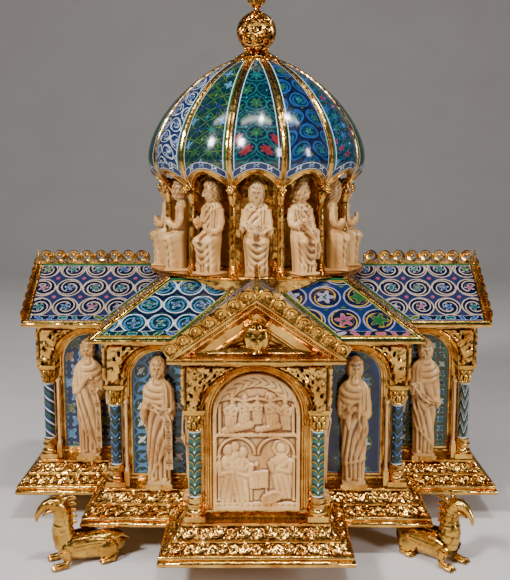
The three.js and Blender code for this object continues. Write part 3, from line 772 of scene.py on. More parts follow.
def buildWalls():
    lowerWall = crossSweep([[-wallInset, platformZ + 0.3], [-wallInset, wallTopZ]], 30)
    footMould = crossSweep(refine([[-1, platformZ + 0.2], [-1, platformZ + 1.6], [-2.2, platformZ + 2.2],
                                   [-1.8, platformZ + 3.2], [-4, platformZ + 3.6], [-4.2, platformZ + 5],
                                   [-wallInset, platformZ + 5.4]], 2), 30)
    inside = crossSweep([[-14, platformZ + 0.3], [-14, wallTopZ]], 30)
    inside["quads"] = flipFaces(inside["quads"])
    gilt, ivoryStrips, panels = [lowerWall, footMould, inside], [], {key: [] for key in nicheEnamels}
    side = [spandrel(endBay, -armHalf - spandrelOut, armHalf + spandrelOut), niche(endBay),
            frameAround(endBay, 1.2, 2.4, 1.2, platformZ + 3)]
    for bay in niches.values():
        half = [spandrel(bay, bay["from"] + spandrelOut, bay["to"] + spandrelOut), niche(bay),
                frameAround(bay, 1.6, 1.8, 1, platformZ + 4), frameAround(bay, 3.9, 1.3, 0.8, platformZ + 7)]
        side += [moved(part, mirror=mirror) for mirror in (False, True) for part in half]
    w, t, along, across = (walls[key] for key in ("stripWide", "stripThick", "stripAlong", "stripAcross"))
    for turn in range(4):
        gilt += onSide(side, turn)
        for key, choices in nicheChoices.items():
            for mirror, choice in enumerate(choices):
                panel = nichePanel(niches[key], 4.2, platformZ + 7.4, nicheEnamels[choice])
                panels[choice] += onSide([panel], turn, mirror)
        # a thin ivory plate beside an arm's column, and on both flanks of a corner's
        for cx, cy in ((armHalf, armReach), (-armHalf, armReach), (blockHalf, blockHalf)):
            wayX = np.sign(cx)
            a = (cx - wayX * along, -(cy + across))
            b = (cx + wayX * across, -(cy - along))
            for (x, y), (hx, hy) in ((a, (t / 2, w / 2)), (b, (w / 2, t / 2)))[int(cy == armReach):]:
                def block(grow, low, high):
                    return slab((x - hx - grow, y - hy - grow, low), (x + hx + grow, y + hy + grow, high))
                ivoryStrips += onSide([block(0, platformZ + 15, capitalZ - 14),
                                       block(0.6, platformZ + 12.5, platformZ + 15),
                                       block(0.5, capitalZ - 15, capitalZ - 13)], turn)
                gilt += onSide([block(1.2, platformZ, platformZ + 12.6)], turn)
    makePiece("gildedWalls", join(gilt), fireGiltCopper, ["walls"], flatAngle=40)
    makePiece("ivoryPilasterStrips", join(ivoryStrips), walrusIvory, smooth=False)
    for key, parts in panels.items():
        makeEnamel("nicheEnamel_" + key, join(parts), champleve(key + "Enamel", nicheEnamels[key]))


# Walrus ivory: dense, warm and polished, with painted shade browning its hollows and creases
def carvedIvory():
    material, tree, shader = newMaterial("walrusIvory")
    place = add(tree, "TexCoord", out="Object")
    cloud = add(tree, "TexNoise", {"Vector": place, "Scale": 45, "Detail": 4}, out="Fac")
    grainPlace = add(tree, "Mapping", {"Vector": place, "Scale": (420, 420, 40)}, out=0)
    grain = add(tree, "TexNoise", {"Vector": grainPlace, "Scale": 1, "Detail": 2}, out="Fac")
    light = add(tree, "MapRange", {"Value": cloud, 1: 0.3, 2: 0.7}, out=0)
    body = add(tree, "Mix", {0: light, 6: linear("#bd8647"), 7: linear("#e9bd7c")}, out=2, data_type="RGBA")
    streak = add(tree, "MapRange", {"Value": grain, 1: 0.52, 2: 0.72, 3: 0, 4: 0.3}, out=0)
    body = add(tree, "Mix", {0: streak, 6: body, 7: linear("#a8713d")}, out=2, data_type="RGBA")
    # painted shade: the relief attribute browns the hollows and creases
    depth = add(tree, "Attribute", out="Fac", attribute_name="relief")
    paintedShade = add(tree, "MapRange", {"Value": depth, 1: -0.45, 2: -0.02, 3: 0.92, 4: 0}, out=0)
    whole = add(tree, "Mix", {0: paintedShade, 6: body, 7: linear("#6e3d14")}, out=2, data_type="RGBA")
    bump = add(tree, "Bump", {"Height": grain, "Strength": 0.12, "Distance": 0.0002}, out=0)
    paint(tree, shader, colour=whole, roughness=0.33, normal=bump)
    shader.inputs["Subsurface Weight"].default_value = 0.07
    shader.inputs["Subsurface Scale"].default_value = 0.002
    shader.inputs["Subsurface Radius"].default_value = (1, 0.75, 0.5)
    return material


walrusIvory = carvedIvory()
buildWalls()
print("stage: walls")


# Striped enamel: bands follow a phase that grows along the surface, with drops laid over them

def bandedEnamel(name, bands, drop):
    material, tree, shader = newMaterial(name)
    phase = add(tree, "Attribute", out="Fac", attribute_name="stem")
    share = add(tree, "Math", {0: phase}, out=0, operation="FRACT")
    tones = add(tree, "ValToRGB", {"Fac": share})
    fillRamp(tones, [(start, linear(enamelTones[tone])) for start, tone in bands], "CONSTANT")
    dropPlace = add(tree, "Attribute", out="Fac", attribute_name="leaf")
    inDrop = add(tree, "Math", {0: dropPlace, 1: 0}, out=0, operation="LESS_THAN")
    tone = add(tree, "Mix", {0: inDrop, 6: tones.outputs[0], 7: linear(enamelTones[drop])}, out=2,
               data_type="RGBA")
    rim = add(tree, "Attribute", out="Fac", attribute_name="edge")
    atRim = add(tree, "Math", {0: rim, 1: 1.6}, out=0, operation="LESS_THAN")
    tone = add(tree, "Mix", {0: atRim, 6: tone, 7: linear(enamelTones["white"])}, out=2, data_type="RGBA")
    paint(tree, shader, colour=tone, roughness=0.2, coat=0.1)
    return material


# Columns: cast base, enamelled tube shaft, cast leafy capital

column = {
    "shaft": 4.4, "foot": 7.4, "baseHigh": 17, "capHigh": 16, "abacus": 7.8,
    "places": (("left", -1, False), ("right", 1, False), ("corner", 1, True)),   # name, way along x, at the corner
}
shaftEnamels = {
    "scales": ([(0, "darkGreen"), (0.28, "teal"), (0.56, "green"), (0.80, "yellow"), (0.89, "black")], "white"),
    "zigzag": ([(0, "darkGreen"), (0.36, "blue"), (0.62, "skyBlue"), (0.72, "black")], "white"),
    "spiral": ([(0, "white"), (0.14, "blue"), (0.5, "green"), (0.7, "deepBlue")], "yellow"),
    "chevron": ([(0, "deepBlue"), (0.34, "white"), (0.44, "teal"), (0.72, "yellow"), (0.80, "darkTeal")], "white"),
}


# A tube whose seam doubles, so that the phase of its bands doesn't blur over the seam
def shaftPart(pattern, x, y, low, high):
    angle = linspace(0, tau, 33)[None, :]
    z = linspace(low, high, int((high - low) / 1.15))[:, None]
    rise = z - low
    wave = abs(mod(angle / tau * 4, 1) * 2 - 1)
    if pattern == "scales":
        row = rise / 6
        phase = row - 0.62 * sqrt(clamp(1 - wave ** 2))
        centreRow = floor(row - 0.2) + 0.72
        drops = hypot((1 - wave) * 3.4, (row - centreRow) * 6) - 0.85
    elif pattern == "zigzag":
        phase = rise / 7.5 + 0.55 * wave
        drops = hypot(wave * 3.4, mod(rise, 15) - 7.5) - 0.8
    elif pattern == "spiral":
        phase = rise / 10 + angle / tau * 2
        drops = np.full_like(phase, 9)
    else:
        phase = rise / 11 + 0.9 * wave
        drops = np.full_like(phase, 9)
    even = np.ones_like(phase)
    r = column["shaft"]
    points = stack([x + r * cos(angle) * even, y + r * sin(angle) * even, z * even], -1)
    zero = 0 * phase
    fields = {"disc": zero, "leaf": drops, "stem": phase + 10, "small": zero, "kind": zero,
              "edge": minimum(rise, high - z) * even}
    return surface(points, fields=fields)


def columnMetal(x, y):
    low, high = columnLow[2] + 0.05, columnHigh[2]
    foot, neck = low + column["baseHigh"], high - column["capHigh"]
    f, s = column["foot"], column["shaft"]
    block = slab((x - f, y - f, low), (x + f, y + f, low + 4))
    profile = [[6.9, low + 4], [7.2, low + 4.6], [7.4, low + 5.6], [7.1, low + 6.7], [6.3, low + 7.2], [5.7, low + 8],
               [5.5, low + 9.4], [5.8, low + 10.4], [6.5, low + 10.9], [6.7, low + 11.8], [6.4, low + 12.6],
               [5.4, low + 13.2], [5.1, low + 15], [5.6, low + 15.5], [5.5, low + 16.4], [s, foot + 0.2]]
    base = lathe(profile, 28, (x, y))
    t = linspace(0, 1, 21)[:, None]
    angle = arange(48)[None, :] / 48 * tau
    flare = 4.6 + 2.4 * t ** 2.2
    lowLeaf = abs(cos(4 * angle)) * exp(-((t - 0.36) / 0.16) ** 2) * (t < 0.52)
    highLeaf = abs(sin(4 * angle)) * exp(-((t - 0.74) / 0.17) ** 2) * (t < 0.9)
    rib = 0.25 * cos(24 * angle) * (t < 0.9)
    ringLow = exp(-((t - 0.03) / 0.035) ** 2)
    rel = 1.5 * lowLeaf + 1.5 * highLeaf + rib + 0.9 * ringLow
    r = flare + rel
    square = 1 / maximum(abs(cos(angle)), abs(sin(angle)))
    r = r * (1 + (square - 1) * 0.5 * clamp((t - 0.6) / 0.4))
    r = minimum(r, column["abacus"] * square)
    z = neck + t * (column["capHigh"] - 3.2) + 0 * angle
    capital = surface(stack([x + r * cos(angle), y + r * sin(angle), z], -1), wrap=True, relief=1.3 * creaseOf(rel, 3))
    a = column["abacus"]
    abacus = join([slab((x - a + 0.7, y - a + 0.7, high - 3.4), (x + a - 0.7, y + a - 0.7, high - 1.6)),
                   slab((x - a, y - a, high - 1.7), (x + a, y + a, high - 0.02))])
    return [block, base], [capital, abacus]


def buildColumns():
    bases, capitals, names, shafts = [], [], [], {key: [] for key in shaftEnamels}
    low, high = columnLow[2] + column["baseHigh"] - 0.3, columnHigh[2] - column["capHigh"] + 0.3
    for turn, sideName in enumerate(sideNames):
        c, s = cos(turn * pi / 2), sin(turn * pi / 2)
        for name, wayX, corner in column["places"]:
            x, y = (blockHalf, -blockHalf) if corner else (wayX * armHalf, -armReach)
            cx, cy = x * c - y * s, x * s + y * c
            metal, capital = columnMetal(cx, cy)
            bases += metal
            capitals += capital
            pattern = ("zigzag" if corner else "scales" if sideName in ("front", "back") else
                       "spiral" if sideName == "left" else "chevron")
            shafts[pattern].append(shaftPart(pattern, cx, cy, low, high))
            names.append("column_" + sideName + "_" + name)
    makePiece("columnBases", join(bases), fireGiltCopper, names, flatAngle=35)
    makePiece("columnCapitals", join(capitals), castGiltBronze, flatAngle=50)
    for key, parts in shafts.items():
        makeEnamel("columnShafts_" + key, join(parts), bandedEnamel(key + "Enamel", *shaftEnamels[key]))


buildColumns()
print("stage: columns")


# Roof: enamel plates in pearled gilt borders, gables with nested frames, and openwork crests

roofEnamel = {
    "arm": dict(
        pitch=(22.5, 23.5), petals=(5, 4.4, 0.42), ring=(10.4, 0.5, "sand"), small=(1.9, "rose"),
        stem=(0.45, "sand"), heart=(-2.9, "yellow"), border=("lilac", "green"),
        leaves="teal leafGreen midBlue rose", turnEach=0.9, coil=7.6, seed=4, lift=19.5, hem=7, ground="slate",
        inner="deepBlue", leafEdge="white"),
    "blockCool": dict(
        pitch=(21, 20.5), petals=(4, 4.6, 0.44), ring=(9.5, 0.5, "white"), small=(1.8, "green"),
        stem=(0.45, "skyBlue"), heart=(-3, "leafGreen"), border=("yellow", "green"),
        leaves="teal midBlue green teal", stagger=0.5, turnEach=0.7, coil=7, seed=9, lift=17.5, hem=7,
        ground="deepBlue", inner="darkTeal", leafEdge="white"),
    "blockWarm": dict(
        pitch=(27, 26), petals=(5, 7.6, 0.3), ring=(12, 0.6, "lilac"), small=(2.2, "leafGreen"),
        stem=(0.45, "yellow"), heart=(-3.4, "green"), border=("yellow", "green"), leaves="rose lilac rose green",
        stagger=0.5, turnEach=0.5, coil=9.6, seed=2.6, lift=20.5, hem=7, ground="blue", inner="deepBlue",
        leafEdge="yellow"),
}
hemEnamel = dict(
    pitch=(10, 7), petals=(2, 4, 0.4), turnEach=1.2, lift=3.7)
roofPlate = {"step": 1.7, "lift": 0.35, "inset": 2.4}   # mm
eaveReach = blockHalf + eaveOut
rakeRise = roofPitch
slopeLong = sqrt(1 + rakeRise ** 2)


# An enamel plate on a sloping face with four corners: u along the eave, v up the slope
def plateBetween(corners, recipe):
    corners = asarray(corners, float)
    wide = max(norm(corners[1] - corners[0]), norm(corners[2] - corners[3]))
    tall = max(norm(corners[3] - corners[0]), norm(corners[2] - corners[1]))
    a = linspace(0, 1, int(wide / roofPlate["step"]))[None, :, None]
    b = linspace(0, 1, int(tall / roofPlate["step"]))[:, None, None]
    points = (corners[0] * (1 - a) + corners[1] * a) * (1 - b) + (corners[3] * (1 - a) + corners[2] * a) * b
    along = corners[1] - corners[0]
    along /= norm(along)
    normal = cross(along, corners[3] - corners[0])
    normal /= norm(normal)
    up = cross(normal, along)
    origin = (corners[0] + corners[1]) / 2
    u, v = (points - origin) @ along, (points - origin) @ up
    edge = full(u.shape, 99)
    for i in range(4):
        start, end = corners[i], corners[(i + 1) % 4]
        unit = (end - start) / norm(end - start)
        inward = cross(normal, unit)
        edge = minimum(edge, (points - start) @ inward)
    fields = motifs(u, v - recipe["lift"], recipe)
    hem = motifs(u, v - roofPlate["inset"] - hemEnamel["lift"], hemEnamel)
    low = v < roofPlate["inset"] + recipe["hem"]
    fields = {key: where(low, hem[key], fields[key]) for key in fields}
    fields["disc"] = where(low, v - roofPlate["inset"] - recipe["hem"], fields["disc"])
    fields["edge"] = edge - roofPlate["inset"]
    return surface(points + normal * roofPlate["lift"], uv=stack([u, v], -1), fields=fields)


# A low gilt roll between two points with a row of pearls along its back
def pearledBorder(start, end, up, wide=4.6, bead=1, pitch=2.7):
    start, end, up = (asarray(p, float) for p in (start, end, up))
    path = start + (end - start) * linspace(0, 1, 3)[:, None]
    strip = tube(path, wide / 2, sides=10, flat=0.36, up=up)
    count = int(norm(end - start) / pitch)
    centres = start + (end - start) * ((arange(count) + 0.5) / count)[:, None] + up * wide * 0.2
    return [strip, beads(centres, bead, 5, 3)]


# A profile of [inset from the rake, inset from the base, y] carried round the gable's triangle
def triangleRing(profile, steps=40, reliefOf=None):
    rows, rel = [], []
    for inset, baseIn, y in profile:
        half = gableHalf - (inset * slopeLong + baseIn) / rakeRise
        base = eaveZ + baseIn
        corner = array([[-half, y, base], [half, y, base], [0, y, base + rakeRise * half], [-half, y, base]])
        f = arange(steps)[:, None] / steps
        rows.append(vstack([corner[k] * (1 - f) + corner[k + 1] * f for k in range(3)]))
    points = stack(rows)
    if reliefOf is not None:
        n = arange(points.shape[1])[None, :]
        rel = reliefOf(n, arange(len(profile))[:, None]) * ones(points.shape[:2])
        points[:, :, 1] -= rel
        # painted shade: everything but the raised flutes is darkened through the relief attribute
        return surface(points, wrap=True, relief=rel - 0.5)
    return surface(points, wrap=True)


# One link of a crest: a ring, a curl inside it and a leaf drop, in the plane of right and up
def scrollRing(centre, right, up, radius, thick, way=1):
    centre, right, up = (asarray(p, float) for p in (centre, right, up))
    a = linspace(0, tau, 17)[:-1]
    circle = centre + radius * (cos(a)[:, None] * right + sin(a)[:, None] * up)
    s = linspace(0, 1, 11)
    curl = centre + (radius * (1 - 0.75 * s) * 0.94)[:, None] * (
        cos(way * (s * 4.6 - 1.6))[:, None] * right + sin(s * 4.6 - 1.6)[:, None] * up)
    facing = cross(right, up)
    leaves = [centre + radius * 0.62 * (cos(k) * right + sin(k) * up) for k in (0.6, 2.2, 3.9, 5.4)]
    return [tube(circle, thick, 5, closed=True, up=facing), tube(curl, thick * linspace(0.9, 1.25, 11), 5, up=facing),
            beads([centre + 0.1 * radius * up], radius * 0.36, 6, 4), beads(leaves, radius * 0.17, 5, 3)]


# Rings side by side over a strip, each with a short stem to the strip
def crestRow(start, end, up, count, radius, thick, stemLow):
    start, end, up = (asarray(p, float) for p in (start, end, up))
    right = (end - start) / norm(end - start)
    facing = cross(right, up)
    parts = []
    for i in range(count):
        base = start + (end - start) * (i + 0.5) / count
        middle = base + up * stemLow
        parts += scrollRing(middle, right, up, radius, thick, 1 if i % 2 else -1)
        link = base + right * norm(end - start) / count * 0.5
        parts.append(tube([link, link + up * stemLow * 0.9, link + up * stemLow * 1.45],
                          [thick, thick * 1.3, thick * 0.8], 6, up=facing))
    return parts


def buildRoof():
    foot, top, front = eaveZ + 0.4, ridgeZ, -gableY
    hipTop = 72
    hipZ = eaveZ + rakeRise * (eaveReach - hipTop)
    hipCorner, step = (hipTop, -hipTop, hipZ), eaveReach - gableHalf
    faces = {
        "arm": [(gableHalf, front, foot), (gableHalf, -eaveReach, foot), (0.6, -eaveReach + gableHalf, top - 0.1),
                (0.6, front, top - 0.1)],
        "blockWarm": [(gableHalf, -eaveReach, foot), (eaveReach, -eaveReach, foot), hipCorner,
                      (hipTop - step, -hipTop, hipZ)],
        "blockCool": [(eaveReach, -eaveReach, foot), (eaveReach, -gableHalf, foot), (hipTop, -hipTop + step, hipZ),
                      hipCorner],
    }
    upArm, upFront, upRake = (array(way) / slopeLong
                              for way in ((rakeRise, 0, 1), (0, -rakeRise, 1), (-rakeRise, 0, 1)))
    # pearled borders in the valleys, behind the rakes and along the eaves: from, to, up, width, pearls and their pitch
    borders = [
        ((gableHalf, -eaveReach, foot), (5, -eaveReach + gableHalf - 5, top - 3.4), (0.3, -0.3, 0.9), 4.2),
        ((gableHalf - 2, front + 4.5, foot + 1.4), (2, front + 4.5, top - 1.4), upArm, 5),
        ((gableHalf - 1.6, front + 2, foot + 1.1), (gableHalf - 1.6, -eaveReach - 1, foot + 1.1), upArm, 3, 0.6, 1.7),
        ((gableHalf + 3, -eaveReach + 1.8, foot + 1.2), (eaveReach - 3, -eaveReach + 1.8, foot + 1.2), upFront, 3, 0.6,
         1.7),
    ]
    gilt = pearledBorder((eaveReach - 1, -eaveReach + 1, foot + 0.5), (hipTop, -hipTop, hipZ + 0.5),
                         (0.33, -0.33, 0.88), 5.2)
    for mirror in (False, True):
        gilt += [moved(part, mirror=mirror) for border in borders for part in pearledBorder(*border)]
    # the ridge's strip with its rivets
    rivets = [(way, y, top + 1) for way in (-1, 1) for y in arange(front + 4, -drumHigh[0] - 1, 3)]
    gilt += [slab((-0.9, front + 2, top - 0.5), (0.9, -drumHigh[0] - 0.5, top + 2.2)), beads(rivets, 0.45, 5, 3)]
    # the gable: mouldings, a fluted strip, a sunk band and the inner triangle, with a row of dots on each edge
    frame = refine(array([[-0.2, 0, 1.4], [0.2, 0.2, 0.2], [1.4, 0.6, 0.05], [2.6, 1.2, 0.8], [3.4, 1.6, 1.6],
                          [4.4, 2.2, 0.5],
                          [5.2, 2.6, 0.6], [6, 3.1, 2.2], [8.5, 4.4, 4.2], [13.5, 6.6, 5], [14.2, 6.9, 4],
                          [15, 7.3, 4.2]])
                   + (0, 0, front), 1.2)
    flutes = array([[15, 7.3, 4.2], [15.7, 7.6, 3.9], [16.6, 8, 4.2], [17.2, 8.3, 6.2]]) + (0, 0, front)
    panel = array([[17.2, 8.3, 6.2], [19.5, 9.4, 7.3], [20.2, 9.8, 7], [30, 14, 7]]) + (0, 0, front)
    half = gableHalf - (30 * slopeLong + 14) / rakeRise
    heartTop = [0, front + 7, eaveZ + 14 + rakeRise * half]
    heart = array([[[-half, front + 7, eaveZ + 14], [half, front + 7, eaveZ + 14]], [heartTop, heartTop]])
    left, right, peak = (-gableHalf + 9.3, eaveZ + 2.2), (gableHalf - 9.3, eaveZ + 2.2), (0, ridgeZ - 4.3)
    dots = []
    for start, end in ((left, peak), (right, peak), (left, right)):
        count = int(hypot(end[0] - start[0], end[1] - start[1]) / 1.7)
        f = linspace(0, 1, count)[:, None]
        line = array(start) * (1 - f) + array(end) * f
        dots.append(stack([line[:, 0], full(count, front + 1.2), line[:, 1]], -1))
    gilt += [triangleRing(frame), triangleRing(flutes, 160, lambda n, r: 0.5 * (mod(n, 4) < 2) * (r > 0) * (r < 3)),
             triangleRing(panel, 4), surface(heart), beads(vstack(dots), 0.62, 5, 3)]
    # a plain strip backs the rake's crest
    rake = array([[-gableHalf + 1, front + 1, foot], [0, front + 1, ridgeZ - 0.2]])
    behind = rake + (0, 1.2, 0)
    strip = surface(array([behind, behind + upRake * 9.3]))
    edge = [(-gableHalf, front + 1, eaveZ + 0.2), (0, front + 1, ridgeZ + 0.2), (gableHalf, front + 1, eaveZ + 0.2)]
    gilt += [strip, moved(strip, mirror=True), tube(edge, 0.8, 6, up=(0, 1, 0))]
    # the crests, of eight rings on the ridge and seven on each rake, with a bud on the gable's point
    bud = [[0, top - 1], [1.6, top], [0.9, top + 3], [1.5, top + 5], [0.3, roofHigh[2] - 0.3]]
    rakeCrest = crestRow(rake[0], rake[1], upRake, 7, 3.8, 0.9, 4.5)
    crests = crestRow((0, front + 3, top + 2), (0, -drumHigh[0] - 1, top + 2), (0, 0, 1), 8, 4.3, 0.95, 5)
    crests += [lathe(bud, 8, (0, front + 1.6))] + rakeCrest + [moved(part, mirror=True) for part in rakeCrest]
    metal, bronze, plates = [], [], {key: [] for key in roofEnamel}
    for turn in range(4):
        metal += onSide(gilt, turn)
        bronze += onSide(crests, turn)
        for key, mirror in (("arm", False), ("arm", True), ("blockWarm", False), ("blockCool", False)):
            plates[key] += onSide([plateBetween(faces[key], roofEnamel[key])], turn, mirror)
    cornice = refine([[6.4, wallTopZ + 0.4], [8, wallTopZ + 0.4], [8.6, wallTopZ + 1.6], [11.5, wallTopZ + 2.2],
                      [13.5, wallTopZ + 3], [14.2, wallTopZ + 2.6], [16.8, wallTopZ + 3], [17.4, wallTopZ + 3.8],
                      [17.4, eaveZ - 0.8], [16.8, eaveZ], [14.5, eaveZ + 0.3]], 1.5)
    metal += [crossSweep(cornice, 30), crossSweep([[-14, wallTopZ + 0.5], [6.4, wallTopZ + 0.5]], 30)]
    makePiece("roofMouldings", join(metal), fireGiltCopper, ["roof"], flatAngle=40)
    makePiece("roofCrests", join(bronze), castGiltBronze, flatAngle=60)
    for key, parts in plates.items():
        makeEnamel("roofEnamel_" + key, join(parts),
                   champleve("roof" + key[0].upper() + key[1:] + "Enamel", roofEnamel[key]))


buildRoof()
print("stage: roof")


# Drum: a moulded round plate on a plain skirt, an arcaded wall and thirteen colonnettes

drum = {
    "bays": 13, "skirt": 89, "wall": 64, "wallHigh": 84, "circle": 80, "colonnette": 2.5, "colonnetteHigh": 66.5,
}


def bayAngle(i):
    return -pi / 2 + i / drum["bays"] * tau


def buildDrum():
    seat, deck, rim = drumLow[2], ridgeZ, drumHigh[0]
    skirt = lathe(refine([[drum["skirt"], eaveZ + 2], [drum["skirt"], seat + 0.2]], 4), 104, caps=False)
    plate = lathe([[drum["skirt"], seat + 0.1], [rim - 1.6, seat + 0.1], [rim - 0.3, seat + 0.7],
                   [rim - 0.1, seat + 1.5],
                   [rim - 1.1, seat + 2], [rim - 0.5, seat + 2.6], [rim - 1.4, deck], [drum["wall"], deck]], 104,
                   caps=False)
    inner = drum["wall"] - 5.6
    count = drum["bays"] * 14
    angle = arange(count)[None, :] / count * tau
    z = linspace(deck, deck + drum["wallHigh"], 32)[:, None]
    turnShare = mod((angle + pi / 2) / tau * drum["bays"] + 0.5, 1) - 0.5
    across = turnShare * tau * drum["wall"] / drum["bays"]
    rise = z - deck
    archHalf, spring = 9.6, 37
    away = where(rise < spring, abs(across), hypot(across, rise - spring)) - archHalf
    away = maximum(away, 5 - rise)
    rel = -2.6 / (1 + exp(away * 2.2)) + 0.7 * exp(-((away - 1.1) / 0.7) ** 2) + 0.4 * exp(-((away - 2.9) / 0.4) ** 2)
    r = drum["wall"] + rel - 0.6
    # painted shade: the sunk arches are darkened through the relief attribute
    wall = surface(stack([r * cos(angle), r * sin(angle), z + 0 * angle], -1), wrap=True,
                   relief=0.16 * minimum(rel, 0))
    topRing = lathe([[drum["wall"], deck + drum["wallHigh"]], [inner, deck + drum["wallHigh"]], [inner, seat]], 52,
                    caps=False)
    metal, bronze, sheets = [skirt, plate, wall, topRing], [], []
    high = drum["colonnetteHigh"]
    c = drum["colonnette"]
    profile = [[4.1, 0], [4.1, 1], [3.4, 1.6], [4, 2.6], [3.1, 3.6], [3.7, 4.6], [2.8, 5.6], [3.2, 6.4], [c, 7.2],
               [c, high - 11.5],
               [3.2, high - 11], [c, high - 10.2], [2.7, high - 7], [3.9, high - 3.4], [3.3, high - 3],
               [4.15, high - 2.4],
               [4.15, high - 0.2]]
    for i in range(drum["bays"]):
        a = bayAngle(i + 0.5)
        x, y = drum["circle"] * cos(a), drum["circle"] * sin(a)
        metal.append(lathe([[p[0], deck + p[1]] for p in profile], 14, (x, y)))
        rx, ry = (drum["circle"] + 7.5) * cos(a), (drum["circle"] + 7.5) * sin(a)
        zRose = deck + high + 1.5
        petals = [(rx + 2.2 * cos(k) * -sin(a), ry + 2.2 * cos(k) * cos(a), zRose + 2.2 * sin(k))
                  for k in arange(6) / 6 * tau]
        bronze += [beads(petals, 1.15, 6, 4), beads([(rx, ry, zRose)], 1.7, 7, 5)]
        # the arched plate behind the figure, with a raised rim
        half = 9
        a0 = linspace(-half, half, 15)[None, :]
        crown = 40 + sqrt(half ** 2 - a0 ** 2)
        up = 5 + (crown - 5) * linspace(0, 1, 22)[:, None]
        rim = half - where(up > 40, hypot(a0, up - 40), abs(a0))
        reach = drum["wall"] + 0.6 + 0.9 * bell(rim, 0.9, 0.7)
        turnTo = bayAngle(i) + a0 / drum["wall"]
        sheets.append(surface(stack([reach * cos(turnTo), reach * sin(turnTo), deck + up], -1)))
    makePiece("drumBackPlates", join(sheets), greenGiltSheet, flatAngle=50)
    makePiece("drumOfGilt", join(metal), fireGiltCopper, ["drum"], flatAngle=40)
    makePiece("drumRosettes", join(bronze), castGiltBronze)


# Dome: thirteen swelling gores of enamel between double gilt ribs

dome = {
    "radius": 94.5, "upper": 85, "lower": 55, "footDrop": 28, "scallop": 15, "groove": 0.035, "fullness": 1.65,
    "top": 8, "rim": 4.6, "rimSwell": 6.5, "band": 9.6, "ribHalf": 2.9, "ribWire": 1.05,
}
dome["footZ"] = domeLow[2]
dome["bulgeZ"] = dome["footZ"] + dome["footDrop"]
dome["topZ"] = (dome["bulgeZ"] + dome["upper"]
                * (1 - (dome["top"] / dome["radius"]) ** dome["fullness"]) ** (1 / dome["fullness"]))


def domeRadius(z):
    rise = z - dome["bulgeZ"]
    low = sqrt(clamp(1 - (rise / dome["lower"]) ** 2))
    high = clamp(1 - abs(clamp(rise / dome["upper"])) ** dome["fullness"]) ** (1 / dome["fullness"])
    return dome["radius"] * where(rise < 0, low, high)


# A point on gore i: across runs 0 to 1 between its ribs, share 0 to 1 from its scalloped foot up
def domePoint(i, across, share, out=0):
    swell = sin(pi * across)
    foot = dome["footZ"] + dome["scallop"] * swell
    z = foot + (dome["topZ"] - foot) * share
    r = domeRadius(z) * (1 - dome["groove"] * (1 - swell)) + out
    a = bayAngle(i - 0.5 + across)
    return stack(np.broadcast_arrays(r * cos(a), r * sin(a), z), -1)


goreEnamels = {
    "palmettes": dict(
        pitch=(16, 17), petals=(7, 6.4, 0.32), ring=(7.8, 0.6, "teal"), small=(1.4, "skyBlue"),
        heart=(-4.4, "skyBlue"), border=("white", "darkTeal"), leaves="green darkTeal red teal", stagger=0.5,
        turn=1.57, seed=2.2, ground="darkTeal", inner="deepBlue", leafEdge="teal"),
    "circles": dict(
        pitch=(19, 18), petals=(6, 4.2, 0.36), ring=(7.9, 0.7, "midBlue"), small=(1.6, "leafGreen"),
        stem=(0.5, "midBlue"), heart=(-2.9, "yellow"), border=("white", "darkGreen"), leaves="teal blue green",
        stagger=0.5, turnEach=0.5, coil=6.6, seed=6.1, ground="deepBlue", inner="darkTeal", leafEdge="skyBlue"),
    "leafScroll": dict(
        pitch=(11.5, 11), petals=(5, 4.2, 0.38), ring=(5.2, 0.4, "teal"), small=(1, "yellow"),
        heart=(-2.9, "white"), border=("white", "teal"), leaves="red teal midBlue skyBlue green", stagger=0.5,
        turnEach=1.1, seed=3.7, ground="deepBlue", inner="blue", leafEdge="skyBlue"),
    "lattice": dict(
        pitch=(13, 13), petals=(4, 4.9, 0.42), stem=(0.55, "leafGreen"), heart=(-3.4, "orange"),
        border=("white", "green"), leaves="teal skyBlue blue green", stagger=0.5, lattice=13, seed=8,
        ground="darkTeal", leafEdge="darkGreen"),
    "scrolls": dict(
        pitch=(15.5, 15.5), petals=(3, 3.2, 0.44), ring=(7, 0.32, "white"), small=(1, "white"),
        stem=(0.42, "white"), border=("white", "teal"), leaves="yellow skyBlue midBlue", stagger=0.5, turnEach=0.9,
        coil=8.6, seed=5.3, ground="blue", inner="blue", leafEdge="white"),
    "darkLeaves": dict(
        pitch=(12, 12.5), petals=(6, 5, 0.36), small=(1.2, "midBlue"), heart=(-3.4, "skyBlue"),
        border=("white", "green"), leaves="blue darkTeal green", stagger=0.5, turnEach=0.4, seed=1.3,
        ground="darkGreen", leafEdge="teal"),
}
goreOrder = ["palmettes", "circles", "leafScroll", "darkLeaves", "lattice", "scrolls", "circles", "leafScroll",
             "palmettes",
             "lattice", "darkLeaves", "scrolls", "lattice"]
footBand = dict(
    pitch=(10, 20), petals=(4, 3, 0.46), heart=(-2.4, "blue"), border=("white", "deepBlue"),
    leaves="skyBlue skyBlue white", turn=0.785, lift=4.8, seed=4.4, ground="blue", leafEdge="white", line=0.2)


# Points of gore i from low to high in mm up its curve, with their distances across and up from the foot in mm
def goreGrid(i, low, high, cols, rows):
    across = linspace(0, 1, cols)[None, :]
    rise = [(level + (dome["rimSwell"] * (1 - sin(pi * across)) if 0 < level < 152 else 0)) / 152
            for level in (low, high)]
    share = rise[0] + (rise[1] - rise[0]) * linspace(0, 1, rows)[:, None]
    fine = linspace(0, 1, 200)[:, None]
    line = domePoint(i, 0.5, fine)[:, 0]
    arc = concatenate([[0], cumsum(norm(diff(line, axis=0), axis=1))])
    points = domePoint(i, across, share)
    span = norm(points[:, -1] - points[:, 0], axis=1)[:, None]
    u = (across - 0.5) * span * 1.02
    v = share * arc[-1] + 0 * u
    return points, u, v, span / 2 - abs(u)


